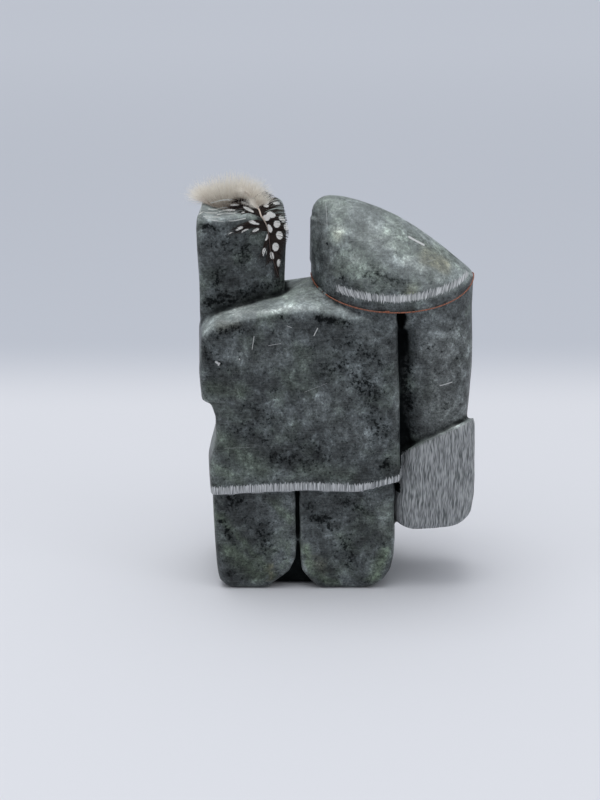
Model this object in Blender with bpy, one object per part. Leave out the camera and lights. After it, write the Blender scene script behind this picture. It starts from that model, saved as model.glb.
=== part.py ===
"""A soapstone carving of a standing fisherman, seen from behind in the photograph.

Metres, +Z up, standing on the plane Z = 0. -Y is the side with the hair, the back of the coat and the
hood's broad slope. The stone is one block; a thread lies in a groove round the hood's neck and one
spotted feather with a downy base is glued on the crown.

The carving's outlines are written in carving units, shares of the stone's height that are millimetres
at the real size.
"""

import math

import bmesh
import bpy
import numpy as np
from mathutils import Matrix

STONE_HEIGHT = 0.1559  # from the table to the ridge of the hood
UNIT = STONE_HEIGHT / 155.9  # one carving unit
THREAD_DIAMETER = 0.0006
THREAD_POINTS = 56
THREAD_GAP = 0.0003  # between the thread and the wall of its groove
FEATHER_GAP = 0.0003  # between the feather and the stone
FEATHER_THICKNESS = 0.0009  # of the vane that lies on the hair

COAT_BACK, COAT_FRONT = -23.0, 23.0
COAT_RIDGE = (-4.5, 1.0)  # between these depths the shoulders are highest
COAT_EDGE = 3.0  # rounding between the coat's broad faces and its sides
COAT_SWELL = 0.7  # how far the middle of each broad face stands out
HEM_EDGE = 0.8  # the hem is cut crisper

HOOD_MIDDLE = 21.9  # middle of the hood's neck, left to right
HOOD_HALF_WIDTH = 31.4
HOOD_HALF_DEPTH = 25.7
HOOD_NECK_HIGH = 125.1  # height of the thread at the two ends of the neck
HOOD_NECK_DROP = 8.6  # how much lower the thread lies at the back and the front

CLEAR_OF_MITTEN = 1.6  # groove cut in the leg round the mitten

STONE_COLOUR = (0.075, 0.085, 0.080, 1.0)
THREAD_COLOUR = (0.30, 0.085, 0.025, 1.0)
FEATHER_COLOUR = (0.10, 0.065, 0.045, 1.0)


def clear_scene():
    for old in list(bpy.data.objects):
        bpy.data.objects.remove(old, do_unlink=True)


def material(name, colour, roughness, metallic=0.0):
    made = bpy.data.materials.new(name)
    made.use_nodes = True
    shader = made.node_tree.nodes["Principled BSDF"]
    shader.inputs["Base Color"].default_value = colour
    shader.inputs["Roughness"].default_value = roughness
    shader.inputs["Metallic"].default_value = metallic
    return made


def solid_from_rings(name, rings):
    """Closed body skinned over rings of equal point counts, with a point fan at each end."""
    rings = [np.asarray(ring, dtype=float) * UNIT for ring in rings]
    count = len(rings[0])
    corners = [tuple(point) for ring in rings for point in ring]
    corners += [tuple(rings[0].mean(axis=0)), tuple(rings[-1].mean(axis=0))]
    faces = []
    for r in range(len(rings) - 1):
        for i in range(count):
            j = (i + 1) % count
            faces.append((r * count + i, r * count + j, (r + 1) * count + j, (r + 1) * count + i))
    last = (len(rings) - 1) * count
    for i in range(count):
        j = (i + 1) % count
        faces.append((len(corners) - 2, j, i))
        faces.append((len(corners) - 1, last + i, last + j))
    mesh = bpy.data.meshes.new(name)
    mesh.from_pydata(corners, [], faces)
    shape = bmesh.new()
    shape.from_mesh(mesh)
    bmesh.ops.recalc_face_normals(shape, faces=shape.faces)
    shape.to_mesh(mesh)
    shape.free()
    made = bpy.data.objects.new(name, mesh)
    bpy.context.scene.collection.objects.link(made)
    return made


def superellipse(low_u, high_u, low_v, high_v, squareness, count=32):
    """Closed outline |u/a|^n + |v/b|^n = 1 inside the given limits."""
    angle = np.linspace(0.0, 2.0 * math.pi, count, endpoint=False)
    reach_u, reach_v = (high_u - low_u) / 2.0, (high_v - low_v) / 2.0
    cosine, sine = np.cos(angle), np.sin(angle)
    u = (low_u + high_u) / 2.0 + reach_u * np.sign(cosine) * np.abs(cosine) ** (2.0 / squareness)
    v = (low_v + high_v) / 2.0 + reach_v * np.sign(sine) * np.abs(sine) ** (2.0 / squareness)
    return np.column_stack((u, v))


def rounded(corners, steps=3):
    """Closed outline through (u, v, radius) corners, each turned by a curve of the given steps."""
    outline = []
    for i, (u, v, radius) in enumerate(np.asarray(corners)[:, :3]):
        here = np.array((u, v))
        before = np.array(corners[i - 1][:2]) - here
        after = np.array(corners[(i + 1) % len(corners)][:2]) - here
        reach_before, reach_after = np.linalg.norm(before), np.linalg.norm(after)
        turn = math.acos(np.clip(before @ after / (reach_before * reach_after), -1.0, 1.0))
        run = min(radius / max(math.tan(turn / 2.0), 0.05), 0.45 * reach_before, 0.45 * reach_after)
        start, end = here + before / reach_before * run, here + after / reach_after * run
        for t in np.linspace(0.0, 1.0, steps + 1):
            outline.append((1 - t) ** 2 * start + 2 * t * (1 - t) * here + t**2 * end)
    return np.array(outline)


def inset(corners, depths):
    """The corners of a closed outline moved inward, each by its own depth from both its edges."""
    places = corners[:, :2]
    along = np.roll(places, -1, axis=0) - places
    along /= np.linalg.norm(along, axis=1)[:, None]
    area = np.sum(places[:, 0] * np.roll(places[:, 1], -1) - np.roll(places[:, 0], -1) * places[:, 1])
    inward = math.copysign(1.0, area) * np.column_stack((-along[:, 1], along[:, 0]))
    before = np.roll(inward, 1, axis=0)
    mitre = (inward + before) / (1.0 + np.sum(inward * before, axis=1))[:, None]
    moved = corners.copy()
    moved[:, :2] += mitre * np.reshape(depths, (-1, 1))
    return moved


def between(stations, shapes, at):
    """Smooth curve through the shapes at the stations, a cubic with central slopes."""
    stations, shapes = np.asarray(stations, dtype=float), np.asarray(shapes, dtype=float)
    slopes = np.gradient(shapes, stations, axis=0)
    k = int(np.clip(np.searchsorted(stations, at) - 1, 0, len(stations) - 2))
    run = stations[k + 1] - stations[k]
    t = (at - stations[k]) / run
    return (
        (2 * t**3 - 3 * t**2 + 1) * shapes[k]
        + (t**3 - 2 * t**2 + t) * run * slopes[k]
        + (3 * t**2 - 2 * t**3) * shapes[k + 1]
        + (t**3 - t**2) * run * slopes[k + 1]
    )


def domed_ends(rings, dome):
    """Adds two shrinking rings at each end, so that a broad end face bulges a little."""
    closed = list(rings)
    for end, beside in ((0, 1), (-1, -2)):
        ring, inner = rings[end], rings[beside]
        centre = ring.mean(axis=0)
        outward = centre - inner.mean(axis=0)
        outward /= np.linalg.norm(outward)
        for share in (0.72, 0.36):
            cap = centre + (ring - centre) * share + outward * dome * (1.0 - share**2)
            closed.insert(0 if end == 0 else len(closed), cap)
    return closed


def fuse(base, others):
    combine(base, others, "UNION")


def cut(base, others):
    combine(base, others, "DIFFERENCE")


def combine(base, others, operation):
    """Applies exact Booleans one after another and removes the objects that were used up."""
    for other in others:
        step = base.modifiers.new(other.name, "BOOLEAN")
        step.operation = operation
        step.solver = "EXACT"
        step.object = other
        other.hide_render = True
        other.display_type = "WIRE"
    bpy.context.view_layer.update()
    result = bpy.data.meshes.new_from_object(base.evaluated_get(bpy.context.evaluated_depsgraph_get()))
    base.modifiers.clear()
    base.data = result
    for other in others:
        bpy.data.objects.remove(other, do_unlink=True)


def ellipsoid(name, centre, reach, around=14, high=8):
    """Small rounded form with its own reach along X, Y and Z, in carving units."""
    shape = bmesh.new()
    bmesh.ops.create_uvsphere(shape, u_segments=around, v_segments=high, radius=1.0)
    place = Matrix.Translation([c * UNIT for c in centre]) @ Matrix.Diagonal([r * UNIT for r in reach] + [1.0])
    bmesh.ops.transform(shape, matrix=place, verts=shape.verts)
    mesh = bpy.data.meshes.new(name)
    shape.to_mesh(mesh)
    shape.free()
    made = bpy.data.objects.new(name, mesh)
    bpy.context.scene.collection.objects.link(made)
    return made


def column(name, rows, squareness, tilts=None, count=32):
    """Upright form. Each row is (height, left, right, back, front); a tilt is (rise per X, rise per Y)."""
    rings = []
    for i, (height, left, right, back, front) in enumerate(rows):
        outline = superellipse(left, right, back, front, squareness, count)
        rise_x, rise_y = tilts[i] if tilts else (0.0, 0.0)
        middle = outline.mean(axis=0)
        heights = height + (outline[:, 0] - middle[0]) * rise_x + (outline[:, 1] - middle[1]) * rise_y
        rings.append(np.column_stack((outline, heights)))
    return solid_from_rings(name, rings)


# The coat, seen from behind: (x, z, corner radius, edge rounding), clockwise from the left shoulder.
# The back outline is the rim of the back face and the middle one runs over the shoulders' ridge.
COAT_BACK_OUTLINE = (
    (-50.6, 106.9, 4.0, COAT_EDGE),
    (-46.4, 111.3, 9.0, COAT_EDGE),
    (-24.0, 116.6, 14.0, COAT_EDGE),
    (-9.5, 117.6, 12.0, COAT_EDGE),
    (3.0, 114.5, 8.0, COAT_EDGE),
    (22.3, 113.4, 2.0, COAT_EDGE),
    (24.1, 81.0, 12.0, 2.4),
    (25.2, 53.0, 3.0, 1.6),
    (25.6, 47.0, 1.0, HEM_EDGE),
    (9.0, 42.3, 9.0, HEM_EDGE),
    (-11.0, 43.2, 12.0, HEM_EDGE),
    (-31.0, 42.2, 10.0, HEM_EDGE),
    (-48.6, 41.0, 1.2, HEM_EDGE),
    (-49.0, 55.0, 8.0, 2.0),
    (-46.3, 64.5, 6.0, COAT_EDGE),
    (-46.2, 73.0, 4.0, COAT_EDGE),
    (-47.8, 78.3, 1.2, COAT_EDGE),
    (-51.3, 79.9, 2.5, COAT_EDGE),
    (-52.2, 91.0, 12.0, COAT_EDGE),
)
COAT_MIDDLE_OUTLINE = (
    (-52.9, 106.6, 5.0, COAT_EDGE),
    (-48.0, 113.0, 10.0, COAT_EDGE),
    (-20.0, 118.4, 12.0, COAT_EDGE),
    (-9.0, 123.0, 8.0, COAT_EDGE),
    (6.0, 124.2, 8.0, COAT_EDGE),
    (24.0, 121.0, 2.0, COAT_EDGE),
    (25.1, 81.0, 12.0, 2.4),
    (26.0, 53.0, 3.0, 1.6),
    (26.0, 46.5, 1.0, HEM_EDGE),
    (9.0, 42.0, 9.0, HEM_EDGE),
    (-11.0, 42.6, 12.0, HEM_EDGE),
    (-31.0, 42.0, 10.0, HEM_EDGE),
    (-50.0, 41.2, 1.2, HEM_EDGE),
    (-50.1, 54.0, 8.0, 2.0),
    (-47.0, 63.5, 6.0, COAT_EDGE),
    (-46.8, 73.0, 4.0, COAT_EDGE),
    (-48.6, 78.1, 1.2, COAT_EDGE),
    (-52.3, 79.5, 2.5, COAT_EDGE),
    (-53.1, 91.0, 12.0, COAT_EDGE),
)


def coat():
    """Blocky coat with sloping shoulders, a crisp hem and a step where the left elbow bends."""
    stations = (COAT_BACK, *COAT_RIDGE, COAT_FRONT)
    shapes = (COAT_BACK_OUTLINE, COAT_MIDDLE_OUTLINE, COAT_MIDDLE_OUTLINE, COAT_BACK_OUTLINE)
    turn = np.radians((90.0, 60.0, 30.0, 0.0))
    depths = [(COAT_BACK + COAT_EDGE * (1 - math.sin(a)), 1 - math.cos(a)) for a in turn]
    depths += [(y, 0.0) for y in ((COAT_BACK + COAT_RIDGE[0]) / 2, *COAT_RIDGE, (COAT_RIDGE[1] + COAT_FRONT) / 2)]
    depths += [(COAT_FRONT - COAT_EDGE * (1 - math.sin(a)), 1 - math.cos(a)) for a in turn[::-1]]
    rings = []
    for y, share in depths:
        corners = between(stations, shapes, y)
        outline = rounded(inset(corners, corners[:, 3] * share))
        rings.append(np.column_stack((outline[:, 0], np.full(len(outline), y), outline[:, 1])))
    return solid_from_rings("soapstone_figure", domed_ends(rings, COAT_SWELL))


# Each leg: (height, outer, inner, back, front). The sole is flat and the boot's toe reaches forward.
LEFT_LEG_ROWS = (
    (0.0, -41.6, -28.0, -18.8, 21.5),
    (0.7, -44.2, -26.2, -19.9, 24.0),
    (3.5, -46.3, -23.2, -20.6, 26.2),
    (8.0, -47.0, -17.9, -20.8, 26.6),
    (13.5, -47.4, -15.3, -20.7, 24.5),
    (21.0, -47.8, -15.1, -20.8, 20.5),
    (32.0, -48.2, -15.5, -20.8, 19.5),
    (46.0, -48.4, -15.7, -20.8, 19.5),
)
RIGHT_LEG_ROWS = (
    (0.0, -4.6, 13.6, -18.8, 21.5),
    (0.7, -6.4, 16.4, -19.9, 24.0),
    (3.5, -9.4, 20.0, -20.6, 26.2),
    (8.0, -12.9, 22.6, -20.8, 26.6),
    (13.5, -13.7, 23.7, -20.7, 24.5),
    (21.0, -13.8, 24.1, -20.8, 20.5),
    (32.0, -14.0, 24.0, -20.8, 19.5),
    (46.0, -14.1, 23.8, -20.8, 19.5),
)
LEG_OUTER_RADIUS, LEG_INNER_RADIUS = 4.5, 1.6  # of the upright edges at the back
LEG_FRONT_EXTRA = 3.0  # the edges at the front are rounder


def leg(name, rows, left_radius, right_radius):
    """Square-cut trouser leg and boot; the radii of the two sides differ."""
    rings = []
    for height, left, right, back, front in rows:
        corners = (
            (left, back, left_radius),
            (right, back, right_radius),
            (right, front, right_radius + LEG_FRONT_EXTRA),
            (left, front, left_radius + LEG_FRONT_EXTRA),
        )
        outline = rounded(corners, steps=5)
        rings.append(np.column_stack((outline, np.full(len(outline), height))))
    return solid_from_rings(name, rings)


# The arm and its mitten: (height, left, right, back, front).
ARM_ROWS = (
    (44.0, 27.0, 50.6, -16.5, 10.5),
    (66.0, 26.2, 52.2, -17.4, 11.5),
    (79.5, 25.0, 53.0, -18.0, 12.0),
    (90.0, 24.2, 53.6, -18.3, 12.4),
)
ARM_SQUARENESS = 2.6
# The arm's top turns into the outline of the hood's neck: (height, share of the way from the arm's outline,
# share of the neck's depth, least depth below the thread).
SHOULDER_ROWS = (
    (96.0, 0.08, 0.97, 3.4),
    (101.0, 0.26, 0.97, 3.4),
    (105.5, 0.50, 0.97, 3.4),
    (110.0, 0.76, 0.97, 3.4),
    (115.5, 1.0, 0.97, 3.4),
    (119.5, 1.0, 0.95, 1.4),
)
SHOULDER_LEFT, SHOULDER_RIGHT = 24.0, 52.7
MITTEN_ROWS = (
    (24.8, 29.0, 48.0, -15.0, 9.0),
    (25.8, 25.8, 52.4, -18.6, 12.4),
    (28.8, 23.2, 55.2, -20.6, 14.6),
    (35.0, 22.3, 56.1, -21.3, 15.4),
    (40.0, 22.8, 56.1, -21.4, 15.5),
    (45.0, 24.1, 55.9, -21.4, 15.5),
    (52.0, 24.3, 55.6, -21.3, 15.4),
    (57.2, 24.5, 55.2, -21.1, 15.2),
    (59.4, 25.1, 54.7, -20.4, 14.6),
    (60.0, 27.4, 52.6, -17.6, 12.0),
)
MITTEN_SQUARENESS = 3.4
MITTEN_TILTS = (  # (rise per X, rise per Y) of each row, so that the cuff slants
    (0.08, 0.0), (0.08, 0.0), (0.10, 0.0), (0.13, -0.02), (0.18, -0.05),
    (0.26, -0.1), (0.38, -0.22), (0.49, -0.34), (0.5, -0.36), (0.5, -0.36),
)


def right_arm():
    """Arm hanging from the hood's neck: a plain column whose top takes the outline of the neck."""
    rings = []
    for height, *sides in ARM_ROWS:
        arm_outline = superellipse(*sides, ARM_SQUARENESS, count=36)
        rings.append(np.column_stack((arm_outline, np.full(len(arm_outline), height))))
    for height, way, depth, below in SHOULDER_ROWS:
        neck = superellipse(
            SHOULDER_LEFT, SHOULDER_RIGHT, -HOOD_HALF_DEPTH, HOOD_HALF_DEPTH, ARM_SQUARENESS, count=36
        )
        reach = np.array([depth * hood_width(x) for x in neck[:, 0]])
        neck[:, 1] = np.clip(neck[:, 1], -reach, reach)
        outline = arm_outline + (neck - arm_outline) * way
        heights = [min(height, neck_height(y) - below) for y in outline[:, 1]]
        rings.append(np.column_stack((outline, heights)))
    return solid_from_rings("right_arm", rings)


def arm_and_mitten(clearance=0.0):
    """The right arm, and its fur mitten with a slanting cuff."""
    rows = [(h, l - clearance, r + clearance, b - clearance, f + clearance) for h, l, r, b, f in MITTEN_ROWS]
    rows[0] = (rows[0][0] - clearance,) + rows[0][1:]
    mitten = column("mitten", rows, MITTEN_SQUARENESS, MITTEN_TILTS, count=36)
    return right_arm(), mitten


def hood_width(x):
    """Half depth of the hood's elliptical neck at a place along it."""
    share = (x - HOOD_MIDDLE) / HOOD_HALF_WIDTH
    return HOOD_HALF_DEPTH * math.sqrt(max(1.0 - share**2, 0.0))


def neck_height(y):
    """The hood's neck is a saddle, highest at its two ends."""
    return HOOD_NECK_HIGH - HOOD_NECK_DROP * (math.hypot(y, 3.0) - 3.0) / (HOOD_HALF_DEPTH - 3.0)


# Height of the hood's ridge along X: a blunt left end and a long slope down to the right.
HOOD_RIDGE = (
    (-9.5, 150.0), (-8.9, 152.0), (-7.4, 153.9), (-5.4, 155.3), (-2.4, 155.9), (2.5, 155.5), (8.5, 153.9),
    (15.9, 151.2), (23.1, 147.9), (30.5, 143.5), (38.0, 138.2), (45.5, 132.2), (50.6, 128.0), (53.1, 125.6),
)
HOOD_LIP = 1.4  # how far the hood's edge stands above the thread
HOOD_FULLNESS = 1.62  # between a flat slope (1) and an ellipse (2)
HOOD_LEAST_HALF_WIDTH = 1.2  # at the two ends of the ridge
HOOD_LEAST_RISE = 0.6  # from the edge to the ridge, where the ridge comes down
HOOD_UNDERCUT = ((0.985, 1.2), (0.93, 4.0), (0.80, 9.0), (0.55, 12.0))  # (share of the width, depth below)


def hood():
    """The hood over the right shoulder: a ridge with two broad, slightly swelling slopes."""
    rings = []
    turn = np.linspace(0.0, math.pi, 21)
    for x, ridge in HOOD_RIDGE:
        half = max(hood_width(x), HOOD_LEAST_HALF_WIDTH)
        lip = min(neck_height(half) + HOOD_LIP, ridge - HOOD_LEAST_RISE)
        y = -half * np.sign(np.cos(turn)) * np.abs(np.cos(turn)) ** (2.0 / HOOD_FULLNESS)
        z = lip + (ridge - lip) * np.sin(turn) ** (2.0 / HOOD_FULLNESS)
        ring = [(x, *point) for point in zip(y, z)]
        under = [(share * half, lip - drop) for share, drop in HOOD_UNDERCUT]
        ring += [(x, y_low, z_low) for y_low, z_low in under]
        ring += [(x, -y_low, z_low) for y_low, z_low in reversed(under)]
        rings.append(np.array(ring))
    return solid_from_rings("hood", rings)


# The head is a block of long hair. Its plan is skewed: the back face recedes towards the right.
HEAD_PLAN = (
    (-52.2, -13.5, 2.4),
    (-19.6, -5.2, 2.6),
    (-20.6, 18.0, 6.0),
    (-51.4, 18.0, 6.0),
)
HEAD_ROWS = (
    (104.0, 0.0), (112.0, 0.0), (124.0, 0.0), (137.0, -0.5), (142.6, -0.6), (145.4, -0.2),
    (146.5, 0.4), (147.0, 1.2), (147.3, 2.6), (147.5, 6.0), (147.7, 10.0),
)  # (height, inset)
CROWN_FROM, CROWN_OVER = 137.0, 10.0  # the crown's slope starts at the first height, whole after the second
CROWN_DIP = -41.0  # where along X the crown is lowest
CROWN_CURL, CROWN_RISE = 0.035, 0.14  # it curls up to the left and rises evenly to the right
CROWN_SLOPE = 0.07  # rise towards the front


def crown_lift(outline, height):
    """How much higher each point of a ring of the head lies for the slope of the crown."""
    from_dip = outline[:, 0] - CROWN_DIP
    across = CROWN_CURL * np.minimum(from_dip, 0.0) ** 2 + CROWN_RISE * np.maximum(from_dip, 0.0)
    share = max(0.0, (height - CROWN_FROM) / CROWN_OVER)
    return share * (across + CROWN_SLOPE * (outline[:, 1] - HEAD_PLAN[0][1]))


def head_block(name, grow=0.0):
    """The block of hair, or the same block grown outwards by some units."""
    rings = []
    for height, depth in HEAD_ROWS:
        outline = rounded(inset(np.array(HEAD_PLAN), depth - grow))
        upward = grow if height > CROWN_FROM else 0.0
        rings.append(np.column_stack((outline, height + upward + crown_lift(outline, height))))
    return solid_from_rings(name, rings)


FACE_X, FACE_Y, FACE_Z = -36.0, 18.0, 131.8  # middle of the face on the front of the head
FACE_RECESS = ((0.0, 3.0, 0.0), (12.2, 6.0, 14.8))  # (offset, reach) of the hollow in the hair round the face
# The face's forms: (name, offset from the face's middle, reach), all plain rounded masses.
FACE_FORMS = (
    ("face_oval", (0.0, -3.4, 0.0), (10.8, 5.2, 13.6)),
    ("brow", (0.0, 1.0, 4.6), (8.2, 1.6, 1.7)),
    ("nose_bridge", (0.0, 1.5, 1.0), (1.5, 1.5, 5.2)),
    ("nose_tip", (0.0, 2.0, -3.2), (2.4, 1.9, 1.9)),
    ("left_eye", (-4.3, 1.0, 1.4), (2.3, 0.9, 0.9)),
    ("right_eye", (4.3, 1.0, 1.4), (2.3, 0.9, 0.9)),
    ("left_cheek", (-5.0, -0.3, -3.2), (3.4, 2.1, 3.8)),
    ("right_cheek", (5.0, -0.3, -3.2), (3.4, 2.1, 3.8)),
    ("upper_lip", (0.0, 1.3, -7.2), (3.4, 1.1, 0.8)),
    ("lower_lip", (0.0, 1.1, -8.8), (2.8, 1.1, 0.8)),
    ("chin", (0.0, 0.0, -11.8), (3.8, 2.0, 2.6)),
)


def placed_on_face(name, offset, reach):
    centre = (FACE_X + offset[0], FACE_Y + offset[1], FACE_Z + offset[2])
    return ellipsoid(name, centre, reach, around=10, high=6)


# The bent left arm and its mitten, across the front: (x, back, front, low, high).
FOREARM_ROWS = (
    (-49.0, 14.0, 23.5, 74.5, 94.0),
    (-44.0, 15.0, 27.4, 72.6, 91.0),
    (-32.0, 15.0, 29.2, 72.6, 88.8),
    (-20.0, 15.0, 29.6, 74.2, 89.4),
    (-12.0, 15.0, 29.2, 75.6, 90.0),
    (-10.0, 16.0, 27.0, 77.5, 88.0),
)
LEFT_MITTEN_ROWS = (
    (-13.0, 15.0, 27.5, 76.0, 89.5),
    (-12.0, 15.0, 30.4, 73.6, 91.8),
    (-6.0, 15.0, 31.2, 73.2, 92.4),
    (2.0, 15.0, 30.6, 74.4, 91.8),
    (7.0, 15.0, 28.6, 77.0, 89.6),
    (9.0, 16.0, 25.0, 80.0, 87.0),
)


def front_forms():
    """Low relief on the side that the photograph hides: the bent left arm with its mitten."""
    made = []
    for name, rows in (("left_forearm", FOREARM_ROWS), ("left_mitten", LEFT_MITTEN_ROWS)):
        rings = []
        for x, back, front, low, high in rows:
            outline = superellipse(back, front, low, high, ARM_SQUARENESS, count=20)
            rings.append(np.column_stack((np.full(len(outline), x), outline)))
        made.append(solid_from_rings(name, rings))
    return made


# Stone left behind the carved grooves: (height, left, right, back, front).
ARM_WEB_ROWS = (
    (33.5, 17.0, 35.0, -8.0, 9.0),
    (45.0, 16.3, 36.3, -11.4, 10.2),
    (66.0, 16.3, 36.3, -13.6, 10.4),
    (90.0, 16.2, 35.6, -14.6, 10.7),
    (118.7, 16.4, 34.2, -14.9, 9.6),
)
LEG_WEB_ROWS = (
    (0.7, -30.3, -1.1, -15.7, 7.7),
    (3.4, -27.6, -4.8, -16.5, 9.0),
    (8.1, -22.2, -8.2, -16.9, 10.4),
    (13.6, -19.2, -10.0, -17.1, 11.2),
    (47.2, -19.1, -10.1, -17.6, 12.7),
)
WEB_SQUARENESS = 7.0


def webs():
    """The stone between the arm and the coat, and between the legs."""
    beside_coat = column("arm_web", ARM_WEB_ROWS, WEB_SQUARENESS, count=20)
    between_legs = column("leg_web", LEG_WEB_ROWS, WEB_SQUARENESS, count=20)
    return beside_coat, between_legs


# The groove between the coat and the arm runs on over the shoulder up to the thread. It is cut as a wedge:
# (height, left and right at the surface, place of its bottom along X), all at these two depths.
SHOULDER_GROOVE_ROWS = (
    (82.0, 24.6, 30.4, 26.4),
    (100.0, 23.3, 29.2, 24.9),
    (113.0, 21.5, 28.6, 23.6),
    (116.2, 21.6, 27.4, 23.3),
)
GROOVE_OPEN, GROOVE_BOTTOM = -26.5, -15.2


def shoulder_groove():
    """Wedge that cuts the upper part of the groove between the coat and the arm."""
    rings = [
        [(left, GROOVE_OPEN, height), (right, GROOVE_OPEN, height), (bottom, GROOVE_BOTTOM, height)]
        for height, left, right, bottom in SHOULDER_GROOVE_ROWS
    ]
    return solid_from_rings("shoulder_groove", rings)


def thread_route():
    """Closed loop in the crease under the hood's lip."""
    angle = np.linspace(0.0, 2.0 * math.pi, THREAD_POINTS, endpoint=False)
    x = HOOD_MIDDLE + HOOD_HALF_WIDTH * np.cos(angle)
    y = HOOD_HALF_DEPTH * np.sin(angle)
    return [(px * UNIT, py * UNIT, neck_height(py) * UNIT) for px, py in zip(x, y)]


def tube(name, route, radius):
    """Closed round tube along a closed route, turned into a mesh."""
    around_steps = 1  # a tube of six sides
    curve = bpy.data.curves.new(name, "CURVE")
    curve.dimensions = "3D"
    curve.bevel_depth = radius
    curve.bevel_resolution = around_steps
    spline = curve.splines.new("POLY")
    spline.points.add(len(route) - 1)
    spline.points.foreach_set("co", [value for point in route for value in (*point, 1.0)])
    spline.use_cyclic_u = True
    guide = bpy.data.objects.new(name + "_guide", curve)
    bpy.context.scene.collection.objects.link(guide)
    bpy.context.view_layer.update()
    mesh = bpy.data.meshes.new_from_object(guide.evaluated_get(bpy.context.evaluated_depsgraph_get()))
    mesh.name = name
    bpy.data.objects.remove(guide, do_unlink=True)
    made = bpy.data.objects.new(name, mesh)
    bpy.context.scene.collection.objects.link(made)
    return made


def stone():
    """All the carved forms joined into one body, then the groove for the thread."""
    figure = coat()
    legs = leg("left_leg", LEFT_LEG_ROWS, LEG_OUTER_RADIUS, LEG_INNER_RADIUS)
    fuse(legs, [leg("right_leg", RIGHT_LEG_ROWS, LEG_INNER_RADIUS, LEG_OUTER_RADIUS)])
    spare_arm, wide_mitten = arm_and_mitten(CLEAR_OF_MITTEN)
    bpy.data.objects.remove(spare_arm, do_unlink=True)
    cut(legs, [wide_mitten])
    head = head_block("head")
    recess = placed_on_face("face_recess", *FACE_RECESS)
    cut(head, [recess])
    fuse(head, [placed_on_face(*form) for form in FACE_FORMS])
    arm_web, leg_web = webs()
    fuse(figure, [arm_web, *arm_and_mitten(), leg_web, legs, hood(), head, *front_forms()])
    cut(figure, [shoulder_groove(), tube("thread_groove", thread_route(), THREAD_DIAMETER / 2 + THREAD_GAP)])
    return figure


# Outline of the feather's vane on the hair, seen from behind, (x, z, radius). The quill end is at the top.
VANE_OUTLINE = (
    (-37.0, 151.5, 3.0),
    (-24.0, 152.0, 3.0),
    (-18.0, 149.5, 4.0),
    (-17.0, 140.0, 7.0),
    (-19.0, 128.0, 5.0),
    (-20.4, 121.4, 1.2),
    (-24.2, 124.5, 4.0),
    (-28.5, 136.0, 3.0),
    (-35.5, 141.0, 3.0),
    (-40.5, 147.5, 3.0),
)
VANE_LIFT = 0.75  # from the plane of the back of the hair, which swells a little there
DOWN_MIDDLE, DOWN_REACH = (-37.2, 1.5, 148.5), (17.0, 14.5, 14.6)


def feather():
    """One feather: the vane lies on the back of the hair at its right corner, its down stands on the crown."""
    (left, left_y), (right, right_y) = HEAD_PLAN[0][:2], HEAD_PLAN[1][:2]
    outline = rounded(VANE_OUTLINE)
    hair = left_y + (outline[:, 0] - left) * (right_y - left_y) / (right - left)
    lift = VANE_LIFT + FEATHER_GAP / UNIT
    sides = [
        np.column_stack((outline[:, 0], hair - depth, outline[:, 1]))
        for depth in (lift + FEATHER_THICKNESS / UNIT, lift)
    ]
    made = ellipsoid("down", DOWN_MIDDLE, DOWN_REACH, around=28, high=14)
    fuse(made, [solid_from_rings("vane", sides)])
    cut(made, [head_block("head_clearance", grow=FEATHER_GAP / UNIT)])
    return made


def finish(made, name, look):
    made.name = name
    made.data.name = name
    made.data.materials.clear()
    made.data.materials.append(look)
    made.data.shade_smooth()
    made.data.set_sharp_from_angle(angle=math.radians(35.0))


def settle(objects):
    """Moves the meshes so that the middle of their common box's underside is the origin."""
    corners = np.array([vertex.co for made in objects for vertex in made.data.vertices])
    low, high = corners.min(axis=0), corners.max(axis=0)
    shift = Matrix.Translation((-(low[0] + high[0]) / 2, -(low[1] + high[1]) / 2, -low[2]))
    for made in objects:
        made.data.transform(shift)


def main():
    clear_scene()
    figure = stone()
    finish(figure, "soapstone_figure", material("soapstone", STONE_COLOUR, 0.35))
    thread = tube("neck_thread", thread_route(), THREAD_DIAMETER / 2)
    finish(thread, "neck_thread", material("thread", THREAD_COLOUR, 0.45))
    plume = feather()
    finish(plume, "spotted_feather", material("feather", FEATHER_COLOUR, 0.8))
    settle([figure, thread, plume])


main()
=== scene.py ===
"""Looks of a small soapstone carving of a standing fisherman, seen from behind.

The stone is one polished block with scratched fur trims. A coppery thread lies under the hood and one
spotted bird's feather is glued on the hair. Lengths on the carving are millimetres of the real piece,
counted from the middle of its block; BLOCK_MIDDLE carries them to the model's frame.
"""

import math

import bmesh
import bpy
import numpy as np
from mathutils.kdtree import KDTree
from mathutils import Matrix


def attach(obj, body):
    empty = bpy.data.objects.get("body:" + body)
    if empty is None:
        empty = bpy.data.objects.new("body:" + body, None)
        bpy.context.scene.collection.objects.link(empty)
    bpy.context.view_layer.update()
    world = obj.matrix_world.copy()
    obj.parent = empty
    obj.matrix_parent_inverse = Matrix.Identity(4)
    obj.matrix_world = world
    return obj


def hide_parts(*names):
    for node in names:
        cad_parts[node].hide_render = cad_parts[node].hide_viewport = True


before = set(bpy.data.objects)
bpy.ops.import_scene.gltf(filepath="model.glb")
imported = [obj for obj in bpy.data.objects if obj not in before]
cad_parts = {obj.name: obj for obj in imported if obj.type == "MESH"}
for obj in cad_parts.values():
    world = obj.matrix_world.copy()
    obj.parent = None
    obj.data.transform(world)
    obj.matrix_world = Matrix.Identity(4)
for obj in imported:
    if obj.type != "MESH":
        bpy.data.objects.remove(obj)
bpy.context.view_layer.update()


# The tabletop and its light. A plain pale sheet that turns bluish grey behind the carving as painted shade
# for a backdrop, a broad soft light overhead, a weak lamp on each side and one small lamp for the glints.
FLOOR_PALE = (0.715, 0.725, 0.762, 1.0)
# Painted shade: behind the carving the sheet is painted bluish grey in place of a backdrop's shaded upright,
# and farther off a little lighter again.
FLOOR_PAINTED_SHADE = (0.525, 0.55, 0.605, 1.0)
FLOOR_PAINTED_SHADE_LIGHTER = (0.57, 0.595, 0.65, 1.0)
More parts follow.
